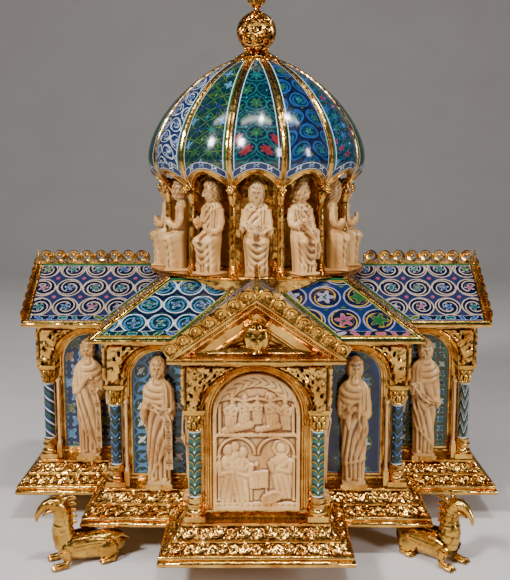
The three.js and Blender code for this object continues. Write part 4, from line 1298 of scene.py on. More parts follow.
def buildDome():
    gores, bands, metal = {key: [] for key in goreEnamels}, [], []
    bandTop = dome["rim"] + dome["band"]
    for i in range(drum["bays"]):
        key = goreOrder[i]
        points, u, v, sideIn = goreGrid(i, bandTop, 152, 27, 80)
        fields = motifs(u, v - 12, goreEnamels[key])
        narrow = minimum(1, hypot(points[..., 0], points[..., 1]) / 26)
        fields["edge"] = minimum(sideIn - dome["ribHalf"] * narrow, v - v[:1] + 1.5)
        gores[key].append(surface(points, fields=fields))
        points, u, v, sideIn = goreGrid(i, dome["rim"], bandTop, 31, 9)
        v = v - v[:1]
        fields = motifs(u, v - footBand["lift"], footBand)
        fields["edge"] = minimum(v, v[-1:] - v)
        bands.append(surface(points, fields=fields))
        # the rib between this gore and the next: two round wires on a flat fillet
        share = linspace(0, 1, 29)
        spine = domePoint(i, 1, share)
        a = bayAngle(i + 0.5)
        side = array([-sin(a), cos(a), 0])
        narrow = minimum(1, hypot(spine[:, 0], spine[:, 1]) / 26)[:, None]
        for way in (-1, 1):
            metal.append(tube(spine + side * way * 1.5 * narrow + array([0, 0, 0.1]), dome["ribWire"] * narrow[:, 0],
                              7, up=side))
            metal.append(tube(spine + side * way * 2.9 * narrow, 0.42 * narrow[:, 0], 5, up=side))
        metal.append(tube(spine, 1.5 * narrow[:, 0], 6, up=side))
        knob = spine[1] + array([cos(a), sin(a), 0]) * 0.6
        metal.append(beads([knob + side * 2, knob - side * 2, knob - array([0, 0, 2])], 1.9, 8, 6))
        # the foot's rim and the plain arched soffit behind it
        across = linspace(0, 1, 31)
        foot = domePoint(i, across, 0)
        metal.append(tube(foot + array([0, 0, 0.4]), 0.8, 6, up=(cos(bayAngle(i)), sin(bayAngle(i)), 0)))
        metal.append(surface(goreGrid(i, 0, dome["rim"], 31, 6)[0]))
        levels = [domePoint(i, across, s, -d) for s, d in ((0, 0.3), (0, 3.7), (0.1, 3.8), (0.2, 3.8), (0.35, 3.8),
                (0.55, 3.8))]
        metal.append(surface(stack(levels), flip=True))
    makePiece("domeRibs", join(metal), fireGiltCopper, ["dome"], flatAngle=50)
    for key, parts in gores.items():
        makeEnamel("domeGores_" + key, join(parts), champleve("gore" + key[0].upper() + key[1:], goreEnamels[key]))
    makeEnamel("domeFootBand", join(bands), champleve("footBandEnamel", footBand))


# Finial: a scalloped collar, a calyx of straps, a pierced ball and a pierced knob

finial = {"skirt": 25, "stem": 3, "ball": 17, "knob": 8.6, "high": 61.7}


# Rings laid side by side over a ball, each with a curl and a bud, as in a ball of cast scrolls. rows gives the
# latitude, the number of rings and their angular radius
def piercedBall(centreZ, radius, rows, wire):
    parts = []
    for lat, count, wide in rows:
        for k in range(count):
            lon = (k + 0.5 * (lat > 0)) / count * tau
            out = array([cos(lat) * cos(lon), cos(lat) * sin(lon), sin(lat)])
            east = array([-sin(lon), cos(lon), 0])
            north = cross(out, east)
            for turns, start, end, thick in ((1, 1, 1, wire), (0.9, 0.72, 0.25, wire * 0.9)):
                t = linspace(0, tau * turns, 17)
                reach = wide * linspace(start, end, 17)
                ring = (cos(reach)[:, None] * out + sin(reach)[:, None] * (cos(t + k)[:, None] * east
                        + sin(t + k)[:, None] * north))
                path = ring * radius + array([0, 0, centreZ])
                parts.append(tube(path, thick, 5, up=out))
            parts.append(beads([out * radius * 0.99 + array([0, 0, centreZ])], wire * 1.5, 6, 4))
    return parts


def buildFinial():
    collarZ = dome["topZ"] + 0.3
    top = finialHigh[2] - 0.1
    knobZ = top - finial["knob"] * 1.35
    ballZ = knobZ - finial["knob"] - finial["ball"] - finial["stem"]
    low = ballZ - finial["ball"]
    radii = linspace(5, 24.5, 12)
    rise = (dome["bulgeZ"] + dome["upper"]
            * (1 - (radii / dome["radius"]) ** dome["fullness"]) ** (1 / dome["fullness"]))
    under = [[r, z + 0.5] for r, z in zip(radii, rise)]
    skirt = lathe(under[::-1][:1] + [[24.6, rise[-1] + 1]] + [[r, z + 1.6] for r, z in zip(radii[::-1], rise[::-1])]
                  + [[0.5, collarZ + 2]], 104, shape=lambda a, s: 1 - 0.07 * (1 - abs(sin(6.5 * a))) * (s < 0.4))
    line = tube(stack([18.5 * cos(arange(48) / 48 * tau), 18.5 * sin(arange(48) / 48 * tau),
                       full(48, interp(18.5, radii, rise) + 2)], -1), 0.6, 6, closed=True)
    stem = lathe([[12, collarZ + 1.6], [7.5, collarZ + 2.6], [4.5, collarZ + 4.6], [3.4, (collarZ + low) / 2],
                  [5.6, low - 2.2], [6, low - 0.8], [4, low + 0.6], [6.5, low + 1.2]], 26)
    straps = []
    for k in range(8):
        a = k / 8 * tau
        out = array([cos(a), sin(a), 0])
        path = [out * r + array([0, 0, z])
                for r, z in ((17, interp(17, radii, rise) + 2.2), (12, collarZ + 2.8), (6.5, collarZ + 5.5),
                             (5.2, low - 1.5), (9.5, low + 2.5))]
        straps += [tube(path, 0.9, 6, up=cross(out, (0, 0, 1))), beads([path[0], path[-1]], 1.7, 8, 6)]
    ball = piercedBall(ballZ, finial["ball"] - 0.9, ((-1.15, 5, 0.36), (-0.52, 9, 0.33), (0.02, 10, 0.31),
                                                     (0.55, 9, 0.33), (1.15, 5, 0.36)), 0.85)
    ballCore = lathe([[(finial["ball"] - 2.2) * cos(t), ballZ + (finial["ball"] - 2.2) * sin(t)]
                      for t in linspace(-1.5, 1.5, 20)], 40)
    # painted shade: the core inside the pierced ball is darkened
    ballCore["relief"] -= 0.5
    waist = lathe([[5.5, ballZ + finial["ball"] - 0.8], [2.6, ballZ + finial["ball"] + 1],
                   [2.4, knobZ - finial["knob"] - 0.6],
                   [4.6, knobZ - finial["knob"] + 0.8]], 20)
    knob = piercedBall(knobZ, finial["knob"] - 0.7, ((-0.75, 5, 0.5), (0.05, 7, 0.44), (0.85, 5, 0.5)), 0.6)
    knobCore = lathe([[(finial["knob"] - 1.4) * cos(t), knobZ + (finial["knob"] - 1.4) * sin(t)]
                      for t in linspace(-1.5, 1.5, 14)], 28)
    # painted shade: the core inside the pierced knob is darkened
    knobCore["relief"] -= 0.45
    tip = lathe([[2.4, knobZ + finial["knob"] - 1.2], [1.6, knobZ + finial["knob"]], [0.6, top]], 14)
    parts = [skirt, line, stem, waist, tip, ballCore, knobCore] + straps + ball + knob
    makePiece("finialOfGilt", join(parts), fireGiltCopper, ["finial"], flatAngle=45)


buildDrum()
buildDome()
buildFinial()
print("stage: drum, dome and finial")


# Figures: draped bodies as rings up their height, with folds added along the surface

figure = {
    "standHigh": 100.6, "sitHigh": 74.6, "sitCircle": 77, "rows": 74, "cols": 42, "headRows": 31, "headCols": 34,
    "farDetail": 0.62,
}


# Angles round a body, closer together where it faces the viewer than behind
def frontDense(cols, front):
    even = arange(cols)[None, :] / cols * tau
    return even - 0.3 * sin(even - front)


# An egg of directions. Brows, eyes, nose, lips and chin sit at a drawing book's even proportions; the hair and
# beard are raised and combed with ridges
def headPart(size, place, beard=0, hair="wavy", turn=0, nod=0, detail=1):
    polar = linspace(0.001, pi - 0.001, int(figure["headRows"] * detail))[:, None]
    around = frontDense(int(figure["headCols"] * detail), 0)
    dx, dy, dz = sin(polar) * sin(around), -sin(polar) * cos(around), cos(polar) + 0 * around
    front = clamp(-dy) ** 0.5
    x = dx / 0.9
    side = abs(x)
    rise = 0.05 * bell(dz, 0.2, 0.07) * bell(side, 0.3, 0.22)
    rise += -0.10 * bell(dz, 0.04, 0.10) * bell(side, 0.29, 0.15) + 0.07 * bell(dz, 0.03, 0.05) * bell(side, 0.29,
            0.09)
    nose = clamp((0.18 - dz) / 0.5) * (dz > -0.36)
    rise += (0.06 + 0.17 * nose) * bell(side, 0, 0.10) * (dz < 0.2) * (dz > -0.36)
    rise += 0.05 * bell(dz, -0.32, 0.06) * bell(side, 0.11, 0.06)
    rise += 0.05 * bell(dz, -0.28, 0.2) * bell(side, 0.42, 0.18)
    rise += 0.05 * bell(dz, -0.50, 0.035) * bell(side, 0, 0.17) - 0.05 * bell(dz, -0.56, 0.02) * bell(side, 0, 0.18)
    rise += 0.05 * bell(dz, -0.62, 0.04) * bell(side, 0, 0.14) + 0.06 * bell(dz, -0.82, 0.1) * bell(side, 0, 0.2)
    rise *= front
    hairLine = 0.50 + 0.10 * side
    covered = softStep((dz - hairLine) * 22) + softStep((side + clamp(dy) - 0.68) * 18)
    covered = clamp(covered) * (1 if hair != "none" else 0)
    azimuth = arctan2(dx, -dy)
    if hair == "wavy":
        comb = 0.05 * pleat(azimuth * 5 + 2.2 * sin(polar * 6))
    elif hair == "cap":
        comb = 0.04 * fold(azimuth * 8) + 0.06 * bell(dz, 0.56, 0.09)
    else:
        comb = 0.06 * pleat(azimuth * 6 + polar * 4) * pleat(polar * 7)
    rise = 1.5 * rise + covered * (0.19 + 2.2 * comb)
    beardIn = clamp(1 / (1 + exp((dz + 0.36 + 0.25 * bell(side, 0, 0.16)) * 22))) * clamp(1.2 - side) * front
    strands = 0.11 * pleat(x * 9 + 1.2 * sin(dz * 9))
    rise += beard * beardIn * (0.13 + 1.3 * strands)
    r = 1 + rise
    drop = beard * beardIn * 0.62 * clamp(-dz - 0.3)
    px, py, pz = dx * r * size[0], dy * r * size[1], (dz * r - drop) * size[2]
    c, s = cos(nod), sin(nod)
    py, pz = c * py - s * pz, s * py + c * pz
    c, s = cos(turn), sin(turn)
    px, py = c * px - s * py, s * px + c * py
    points = stack([px + place[0], py + place[1], pz + place[2]], -1)
    # painted shade: creases, the hair and beard, and the eye sockets are darkened through the relief attribute
    paintedShade = 6.5 * creaseOf(rise, 2) - 0.2 * maximum(covered, beard * beardIn) - 0.42 * front * bell(dz, 0.05,
            0.06) * bell(side, 0.29, 0.12)
    return surface(points[::-1], wrap=True, capLow=True, capHigh=True, relief=clip(paintedShade[::-1], -0.6, 0.3))


# A palm and four fingers lying along a direction
def handPart(place, ahead):
    place, ahead = asarray(place, float), asarray(ahead, float)
    ahead = ahead / norm(ahead)
    across = cross(ahead, (0, 1, 0))
    across /= norm(across)
    parts = [tube([place - ahead * 1.2, place + ahead * 1], [1.5, 1.9], 8, flat=0.6, up=(0, 1, 0))]
    for k in range(4):
        root = place + across * (k - 1.5) * 0.85 + ahead * 0.8
        parts.append(tube([root, root + ahead * (3.1 - 0.3 * abs(k - 1))], [0.55, 0.42], 5))
    return parts


# A ribbon along a path, cut with rows of short strokes across it that spell nothing
def scrollStrip(path, wide, detail=1):
    path = asarray(path, float)
    fine = linspace(0, 1, int(90 * detail))
    knots = concatenate([[0], cumsum(norm(diff(path, axis=0), axis=1))])
    at = fine * knots[-1]
    line = stack([interp(at, knots, path[:, k]) for k in range(3)], -1)
    kernel = ones(9) / 9
    padded = vstack([np.repeat(line[:1], 4, 0), line, np.repeat(line[-1:], 4, 0)])
    line = stack([np.convolve(padded[:, k], kernel, "valid") for k in range(3)], -1)
    ahead = np.gradient(line, axis=0)
    ahead /= norm(ahead, axis=1, keepdims=True)
    across = cross(ahead, (0, -1, 0))
    across /= norm(across, axis=1, keepdims=True)
    out = cross(across, ahead)
    c = array([-1, -0.98, -0.72, -0.5, -0.25, 0, 0.25, 0.5, 0.72, 0.98, 1, 0.98, -0.98])
    h = array([0, 1, 1, 1, 1, 1, 1, 1, 1, 1, 0, -1, -1]) * 0.9 / 2
    cell = floor(at / 1.7)[:, None]
    stroke = (abs(mod(at[:, None] / 1.7, 1) - 0.5) < 0.27) & (abs(c)[None, :] < 0.45
            + 0.35 * sin(cell * 7.3)) & (h > 0)[None, :]
    depth = where(stroke, 0.35, 0)
    points = line[:, None] + across[:, None] * (c * wide / 2)[None, :, None] + out[:, None] * (h[None, :] - depth)[:,
            :, None]
    # painted shade: the cut strokes are darkened through the relief attribute
    return surface(points, wrap=True, capLow=True, capHigh=True, relief=-2 * depth, flip=True)


# Rings of a squarish ellipse up the body. levels are [z, half width, half depth, x, y] in shares of the height;
# foldsOf(x, share, front) gives the folds in mm, with x from -1 to 1 across
def drapedPart(high, levels, foldsOf, detail=1):
    levels = asarray(levels, float)
    share = linspace(levels[0, 0], levels[-1, 0], int(figure["rows"] * detail))[:, None]
    angle = frontDense(int(figure["cols"] * detail), 1.5 * pi)
    w, d, cx, cy = (interp(share, levels[:, 0], levels[:, k]) * high for k in (1, 2, 3, 4))
    cosA, sinA = cos(angle), sin(angle)
    ux, uy = np.sign(cosA) * abs(cosA) ** 0.8, np.sign(sinA) * abs(sinA) ** 0.8
    front = clamp(-sinA) ** 0.5 + 0 * share
    rel = foldsOf(ux + 0 * share, share + 0 * angle, front)
    nx, ny = cosA, sinA
    points = stack([cx + w * ux + rel * nx, cy + d * uy + rel * ny, share * high + 0 * angle], -1)
    return surface(points, wrap=True, capLow=True, capHigh=True, relief=0.95 * creaseOf(rel, 3))


standLevels = [[0.015, 0.088, 0.050, 0, 0], [0.04, 0.090, 0.052, 0, 0], [0.3, 0.094, 0.056, 0, 0],
               [0.5, 0.106, 0.060, 0, 0],
               [0.62, 0.116, 0.062, 0, 0], [0.72, 0.120, 0.062, 0, 0], [0.765, 0.112, 0.058, 0, 0],
               [0.80, 0.088, 0.050, 0, 0],
               [0.825, 0.055, 0.042, 0, -0.002], [0.86, 0.040, 0.036, 0, -0.004]]
sitLevels = [[0, 0.118, 0.105, 0, -0.05], [0.04, 0.124, 0.11, 0, -0.052], [0.2, 0.132, 0.115, 0, -0.055],
             [0.35, 0.148, 0.130, 0, -0.060],
             [0.40, 0.148, 0.125, 0, -0.050], [0.43, 0.138, 0.10, 0, -0.022], [0.47, 0.120, 0.078, 0, 0.004],
             [0.6, 0.126, 0.074, 0, 0.014],
             [0.69, 0.140, 0.072, 0, 0.018], [0.735, 0.132, 0.066, 0, 0.018], [0.765, 0.100, 0.058, 0, 0.014],
             [0.785, 0.062, 0.05, 0, 0.008],
             [0.83, 0.050, 0.048, 0, 0]]


# Standing folds: long steep folds from one shoulder to the other hip over a tunic's straight folds
def robeFolds(slope, cover, way):
    def folds(x, share, front):
        drift = 0.9 * sin(2.6 * x + 5 * share)
        hem = 0.17 + slope * way * x
        over = softStep((share - hem) * 60)
        below = 1.2 * pleat(x * 8 + 0.4)
        steep = 1.3 * pleat(x * 6.4 - way * share * 16 + drift) * clamp((0.66 - share) / 0.1)
        side = softStep((way * x - 0.30) * 18)
        shoulder = cover * 1.1 * pleat(x * 11 + share * 2.5) * side * clamp((share - 0.30) / 0.1)
        chest = 1 * pleat(hypot(x * 0.10, share - 0.84) * 58) * clamp((share - 0.60) / 0.06) * (1 - side)
        edge = 0.9 * bell(share, hem, 0.012)
        return (over * (0.9 + steep) + (1 - over) * below + shoulder + chest + edge) * (0.4 + 0.6 * front) - 0.7
    return folds


# Seated folds: two knees, hanging loops of cloth between the shins, and a mantle across the chest
def lapFolds(way, swing):
    def folds(x, share, front):
        low, high = clamp((0.41 - share) / 0.05), clamp((share - 0.44) / 0.04) * clamp((0.76 - share) / 0.05)
        knees = 2.6 * (bell(x, -0.50, 0.27) + bell(x, 0.50, 0.27)) * bell(share, 0.375, 0.07) - 1.8 * bell(x, 0,
                0.24) * bell(share, 0.40, 0.06)
        shins = 1.1 * (bell(x, -0.50, 0.26) + bell(x, 0.50, 0.26)) * low
        loops = 1.7 * pleat(40 * (share + 0.15 * (1 - x ** 2)) + (1.4 + swing) * x) * bell(x, 0,
                0.8) * low * clamp((share - 0.05) / 0.05)
        fall = 1.3 * pleat(x * 8.5 + 3 * share) * clamp((abs(x) - 0.5) * 3) * low
        hem = 1.3 * pleat(x * 8 + 1) * clamp((0.13 - share) / 0.05)
        side = softStep((way * x - 0.15) * 16)
        slant = high * (1.4 * pleat(x * 4.6 - way * share * 36) * (1 - side) + 1.3 * pleat(x * 11 + share * 3) * side)
        neck = 1.1 * pleat(hypot(x * 0.12, share - 0.83) * 55) * bell(share, 0.73, 0.05)
        return (knees + shins + loops + fall + hem + slant + neck + 0.8 * bell(share, 0.45,
                0.012)) * front - 0.9 + 0.5 * fold(x * 9) * (1 - front)
    return folds


# Sleeve: shoulder to elbow to wrist on a smoothed path, wider at the cuff
def armPart(shoulder, elbow, wrist, thick=3.1):
    points = array([shoulder, elbow, wrist], float)
    t = linspace(0, 1, 14)[:, None]
    path = (1 - t) ** 2 * points[0] + 2 * t * (1 - t) * (2 * points[1]
            - 0.5 * (points[0] + points[2])) + t ** 2 * points[2]
    radius = thick * (1 - 0.30 * t[:, 0]) * (1 + 0.09 * cos(t[:, 0] * 26))
    radius[-1] *= 1.12
    return tube(path, radius, 12)


# The open end of a wide sleeve that hangs from the forearm
def hangingCuff(wrist, way, long=9):
    x, y, z = wrist
    path = [(x + way * 1.5, y + 1.2, z), (x + way * 2.4, y + 1.4, z - long * 0.5), (x + way * 1.4, y + 1.6, z - long)]
    return tube(path, [2.2, 2.5, 0.5], 10, flat=0.55, up=(0, 1, 0))


def standingFigure(pose, detail=1):
    h = figure["standHigh"]
    way = pose["way"]
    parts = [drapedPart(h, standLevels, robeFolds(pose["slope"], pose["cover"], way), detail)]
    parts.append(headPart((5.4, 5.7, 7.6), (0, -1.2, 0.912 * h), pose["beard"], pose["hair"], pose["turn"], 0, detail))
    for side in (-1, 1):
        hx, hz = pose["hands"][0 if side < 0 else 1]
        hand = array([hx, -0.086 * h, hz * h])
        elbow = (side * 0.104 * h, -0.028 * h, min(0.55, hz - 0.01) * h)
        wrist = hand + array([side * 1.9, 0.6, -0.6])
        parts.append(armPart((side * 0.086 * h, -0.01 * h, 0.745 * h), elbow, wrist, 3.3))
        parts += handPart(hand, (-side * 1, -0.1, pose.get("lift", 0.25)))
        parts.append(hangingCuff(wrist, side * 0.8, pose["cuff"]))
        foot = tube([(side * 0.040 * h, 0, 2.6), (side * 0.046 * h, -0.050 * h, 2.4),
                     (side * 0.050 * h, -0.078 * h, 1.6)],
                    [2.4, 2.5, 1.2], 10, flat=0.72)
        parts.append(foot)
        parts += [tube([(side * 0.05 * h + (k - 2) * 0.9, -0.074 * h, 1.8),
                        (side * 0.05 * h + (k - 2) * 1, -0.086 * h, 1.2)], [0.55, 0.4], 5)
                  for k in range(5)]
    parts.append(slab((-0.090 * h, -0.090 * h, 0), (0.090 * h, 0.058 * h, 1.5)))
    scroll = [(x, -0.001 * h * y, z * h) for x, y, z in pose["scroll"]]
    if scroll:
        parts.append(scrollStrip(scroll, pose["scrollWide"], detail=detail))
    if pose.get("roll"):
        (x0, z0), (x1, z1) = pose["roll"]
        parts.append(tube([(x0, -0.095 * h, z0 * h), (x1, -0.095 * h, z1 * h)], 1.3, 10))
    if pose.get("swag"):
        for k in range(3):
            x0 = way * (7 - 0.6 * k)
            parts.append(tube([(x0, -0.060 * h, (0.50 - 0.008 * k) * h),
                               (x0 * 0.2, -0.078 * h, (0.445 - 0.02 * k) * h),
                               (-x0 * 1.1, -0.060 * h, (0.49 - 0.03 * k) * h)], [1, 1.2, 0.9], 8))
    return join(parts)


def seatedFigure(pose, detail=1):
    h = figure["sitHigh"]
    parts = [drapedPart(h, sitLevels, lapFolds(pose["way"], pose["swing"]), detail)]
    parts.append(headPart((5.3, 6, 8.2), (0, -1, 0.880 * h), pose["beard"], pose["hair"], pose["turn"],
                          pose.get("nod", 0), detail))
    for side in (-1, 1):
        hx, hy, hz = pose["hands"][0 if side < 0 else 1]
        hand = array([hx, hy, hz * h])
        wrist = hand + array([side * 1.8, 0.9, -0.4])
        parts.append(armPart((side * 0.112 * h, 0.4, 0.70 * h), (side * 0.140 * h, -2.5, max(0.49, hz - 0.04) * h),
                             wrist, 3.5))
        parts += handPart(hand, (-side * 0.8, -0.2, pose.get("lift", 0.2)))
        parts.append(hangingCuff(wrist, side * 0.8, 7))
        parts.append(tube([(side * 4.6, -8, 2.2), (side * 4.9, -12.6, 1.9)], [2.2, 1.5], 10, flat=0.75))
    if pose.get("scroll"):
        parts.append(scrollStrip([(x, y, z * h) for x, y, z in pose["scroll"]], pose.get("scrollWide", 5.2),
                                 detail=detail))
    if pose.get("book"):
        x, y, z = pose["book"]
        parts.append(slab((x - 3.2, y - 1.1, z * h - 4.2), (x + 3.2, y + 1.1, z * h + 4.2)))
    parts.append(slab((-0.125 * h, -14, 0), (0.125 * h, 7.6, 1.5)))
    return join(parts)


# The four standing figures of a side, in the order of its bays. x in mm, heights in shares of the figure.
standPoses = [
    dict(way=1, slope=0.02, cover=1, beard=0, hair="cap", turn=0.05, hands=[(-1.5, 0.6), (3.6, 0.585)], cuff=17,
         scroll=[], scrollWide=5, roll=[(2.6, 0.53), (3.4, 0.66)], lift=0.55),
    dict(way=1, slope=0.16, cover=1, beard=1, hair="wavy", turn=-0.08, hands=[(-8.2, 0.625), (6.2, 0.6)], cuff=14,
         scroll=[(-9, 92, 0.645), (-4, 98, 0.625), (3, 98, 0.585), (7.5, 94, 0.53), (8.3, 84, 0.42), (8.3, 78, 0.25),
                 (8.6, 76, 0.11)], scrollWide=5.4),
    dict(way=-1, slope=0.1, cover=0.6, beard=0.8, hair="wavy", turn=0.1, hands=[(-8, 0.63), (7.5, 0.5)], cuff=8,
         scroll=[(-8.6, 92, 0.645), (-6, 96, 0.58), (-2.2, 96, 0.53), (2.8, 96, 0.49), (5.6, 90, 0.465),
                 (4, 84, 0.45)], scrollWide=4.8, swag=True),
    dict(way=-1, slope=0.14, cover=0.4, beard=0, hair="curled", turn=-0.05, hands=[(1, 0.685), (5.6, 0.585)], cuff=7,
         scroll=[(3.4, 100, 0.585), (7.4, 96, 0.54), (8.8, 86, 0.45), (9, 78, 0.3), (9.2, 74, 0.06)], scrollWide=4.6),
]
lapScroll = [(-8, -12.5, 0.57), (-4, -14.4, 0.50), (0.5, -15, 0.53), (4.5, -14.6, 0.485), (8, -12.5, 0.53)]
# A row: the way a figure faces, the swing of its lap, beard, hair, head's turn, whole turn, hands, what it carries
sitKeys = ("way", "swing", "beard", "hair", "turn", "spin", "hands")
sitPoses = [
    (1, 0, 1, "wavy", 0, 0, [(-7.5, -11.5, 0.56), (7.5, -11.5, 0.52)], dict(scroll=lapScroll, scrollWide=5.8)),
    (-1, 1.5, 0, "curled", 0.25, 0.12, [(-4, -9.5, 0.58), (7, -11, 0.46)],
     dict(scroll=[(-2, -11.5, 0.6), (0.5, -13, 0.52), (4.5, -14.4, 0.43), (6, -16, 0.3), (6, -13.8, 0.16)])),
    (1, -2, 1, "wavy", 0.7, 0.5, [(-3, -10, 0.56), (4, -11, 0.5)],
     dict(nod=0.12, scroll=[(3, -12, 0.52), (6, -13.5, 0.42), (7, -14, 0.28)])),
    (-1, 1, 0.7, "curled", 0.3, 0.2, [(-3.5, -10.5, 0.55), (4.5, -10.5, 0.53)], dict(book=(0.5, -11.5, 0.56))),
    (1, 0.5, 1, "cap", -0.2, -0.1, [(-5, -10.5, 0.52), (5, -10.5, 0.56)], dict(book=(0, -11.8, 0.55))),
    (-1, -0.5, 0.9, "wavy", 0.15, 0, [(-4, -10.5, 0.5), (4, -10, 0.62)],
     dict(scroll=[(3.5, -12.2, 0.66), (2, -13.6, 0.54), (-2, -14.6, 0.42), (-3, -15, 0.3)])),
    (1, 0, 0, "wavy", 0, 0.1, [(-3, -11, 0.6), (3, -11, 0.6)], dict(book=(0, -11, 0.5))),
    (-1, 0.8, 1, "curled", 0.1, -0.1, [(-8, -11.5, 0.5), (8, -11.5, 0.5)], dict(scroll=lapScroll, scrollWide=5.4)),
    (1, -0.6, 0.6, "wavy", -0.25, 0.1, [(-5, -10.5, 0.54), (5, -10.5, 0.48)], dict(book=(0, -11.6, 0.52))),
    (-1, 0.4, 0.9, "cap", 0.2, 0, [(-4.5, -10.5, 0.5), (4, -10, 0.6)],
     dict(scroll=[(3.5, -12.2, 0.64), (1, -13.8, 0.5), (-3, -14.6, 0.38)])),
    (1, 0, 0.8, "wavy", -0.5, -0.35, [(-4, -10.5, 0.5), (4, -10.5, 0.54)], dict(book=(0.5, -11.5, 0.52))),
    (1, 2, 0, "curled", -0.6, -0.5, [(-2, -12, 0.56), (2.5, -11.5, 0.55)],
     dict(nod=-0.05, scroll=[(1, -13, 0.56), (3.5, -14, 0.44), (4.5, -14.4, 0.28)], lift=0.6)),
    (1, -1, 0, "wavy", -0.55, -0.3, [(-5.5, -11.5, 0.58), (3.5, -11, 0.5)], dict(lift=1.4)),
]
sitPoses = [dict(zip(sitKeys, row), **row[7]) for row in sitPoses]


bayOrder = (("block", 1), ("block", -1), ("arm", 1), ("arm", -1))


def buildFigures():
    for turn, sideName in enumerate(sideNames):
        people, steps = [], []
        for (bayName, wayX), pose in zip(bayOrder, standPoses):
            bay = niches[bayName]
            x, back = wayX * bay["middle"], -(bay["reach"] - wallInset)
            y = -(bay["reach"] - wallInset + figure["standHigh"] * 0.08)
            person = standingFigure(pose, figure["farDetail"] if turn else 1)
            people.append(moved(person, shift=(x, y, platformZ + 4.1)))
            steps.append(slab((x - 10.5, back - 17, platformZ + 0.2), (x + 10.5, back - 0.5, platformZ + 4)))
        names = ["prophet_" + sideName + "_" + str(k + 1) for k in range(4)]
        makePiece("prophets_" + sideName, join(onSide(people, turn)), walrusIvory, names, flatAngle=60)
        makePiece("prophetSteps_" + sideName, join(onSide(steps, turn)), fireGiltCopper,
                  smooth=False)
    sitting = []
    for i, pose in enumerate(sitPoses):
        person = moved(seatedFigure(pose, figure["farDetail"] if 3 < i < 10 else 1), turn=pose["spin"])
        person["verts"][:, 1] -= figure["sitCircle"]
        sitting.append(moved(person, turn=i / drum["bays"] * tau, shift=(0, 0, ridgeZ + 0.4)))
    names = ["seated_figure_" + str(i + 1) for i in range(drum["bays"])]
    makePiece("seatedFigures", join(sitting), walrusIvory, names, flatAngle=60)


# Masks: cast heads with ribbed caps on the gables

def buildMasks():
    low, high = nodeBox("mask_front")
    middle = (low + high) / 2
    rise = (high[2] - low[2]) / 2
    head = headPart((7.4, 6.6, rise * 0.84), (0, middle[1] + 0.6, middle[2] + 1.2), 0.35, "cap")
    collar = lathe([[1.5, low[2]], [4.6, low[2] + 0.4], [3.6, low[2] + 2.6], [3.2, low[2] + 5]], 20,
                   (0, middle[1] + 1.5))
    collar["verts"][:, 1] = minimum(collar["verts"][:, 1], high[1])
    whole = join([head, collar])
    for turn, sideName in enumerate(sideNames):
        makePiece("castMask_" + sideName, moved(whole, turn=turn * pi / 2), castGiltBronze,
                  ["mask_" + sideName], flatAngle=60)


# Plaques: a carved field computed as the highest of many rounded shapes

plaque = {"sunk": 3, "border": 2.6, "step": 0.66, "farStep": 1, "middleShare": 0.56}


# A robed figure in low relief with its head, arm and folds, standing at (cx, cz)
def carvedPerson(x, z, cx, cz, high, lean=0, way=1, halo=False):
    u, v = (x - cx - lean * (z - cz)) / high, (z - cz) / high
    wide = 0.15 + 0.05 * clamp(v / 0.6) - 0.13 * clamp((v - 0.66) / 0.12)
    robe = 2.1 * sqrt(clamp(1 - (u / maximum(wide, 0.02)) ** 2)) * (v > 0) * (v < 0.80)
    folds = 0.55 * fold(u * 34 + way * 6 * clamp(v) + 1) * (v < 0.42) + 0.5 * fold(v * 24 - way * u * 16) * (v >= 0.42)
    robe = where(robe > 0, robe - 0.5 + 1.3 * folds, 0)
    head = oval(u, v, 0, 0.885, 0.078, 0.105, 2.7)
    brow = 0.35 * bell(v, 0.90, 0.012) * bell(abs(u), 0.03, 0.02) - 0.4 * bell(v, 0.887, 0.012) * bell(abs(u), 0.03,
            0.014)
    nose = 0.5 * bell(u, 0, 0.010) * bell(v, 0.87, 0.022)
    hair = 0.35 * fold(u * 60 + v * 30) * ((v > 0.935) | (abs(u) > 0.058)) * (head > 0)
    head = where(head > 0, head + (brow + nose) * (abs(u) < 0.06) + hair, 0)
    arm = ridgeAlong(u, v, [(way * 0.15, 0.66), (way * 0.12, 0.48), (-way * 0.06, 0.52)], 0.055, 2.8)
    other = ridgeAlong(u, v, [(-way * 0.16, 0.66), (-way * 0.17, 0.50), (-way * 0.20, 0.62)], 0.045, 2.5)
    out = np.maximum.reduce([robe, head, arm, other])
    if halo:
        ring = hypot(u, v - 0.885)
        out = maximum(out, where(ring < 0.145, 1 + 0.5 * bell(ring, 0.128, 0.012), 0))
    return out


# A round arch on two little columns
def carvedArch(x, z, cx, foot, top, half, wide=0.9, tall=2.6, only=0):
    spring = top - half
    ring = hypot(x - cx, z - spring)
    arch = where(z > spring, tall * sqrt(clamp(1 - ((ring - half) / wide) ** 2)), 0)
    shafts = 0
    for side in ((only,) if only else (-1, 1)):
        away = abs(x - cx - side * half)
        thick = wide * (1 + 0.5 * bell(z, foot + 1, 1) + 0.6 * bell(z, spring - 1, 1.3))
        shafts = maximum(shafts, where((z > foot) & (z <= spring), tall * sqrt(clamp(1 - (away / thick) ** 2)), 0))
    return maximum(arch, shafts)


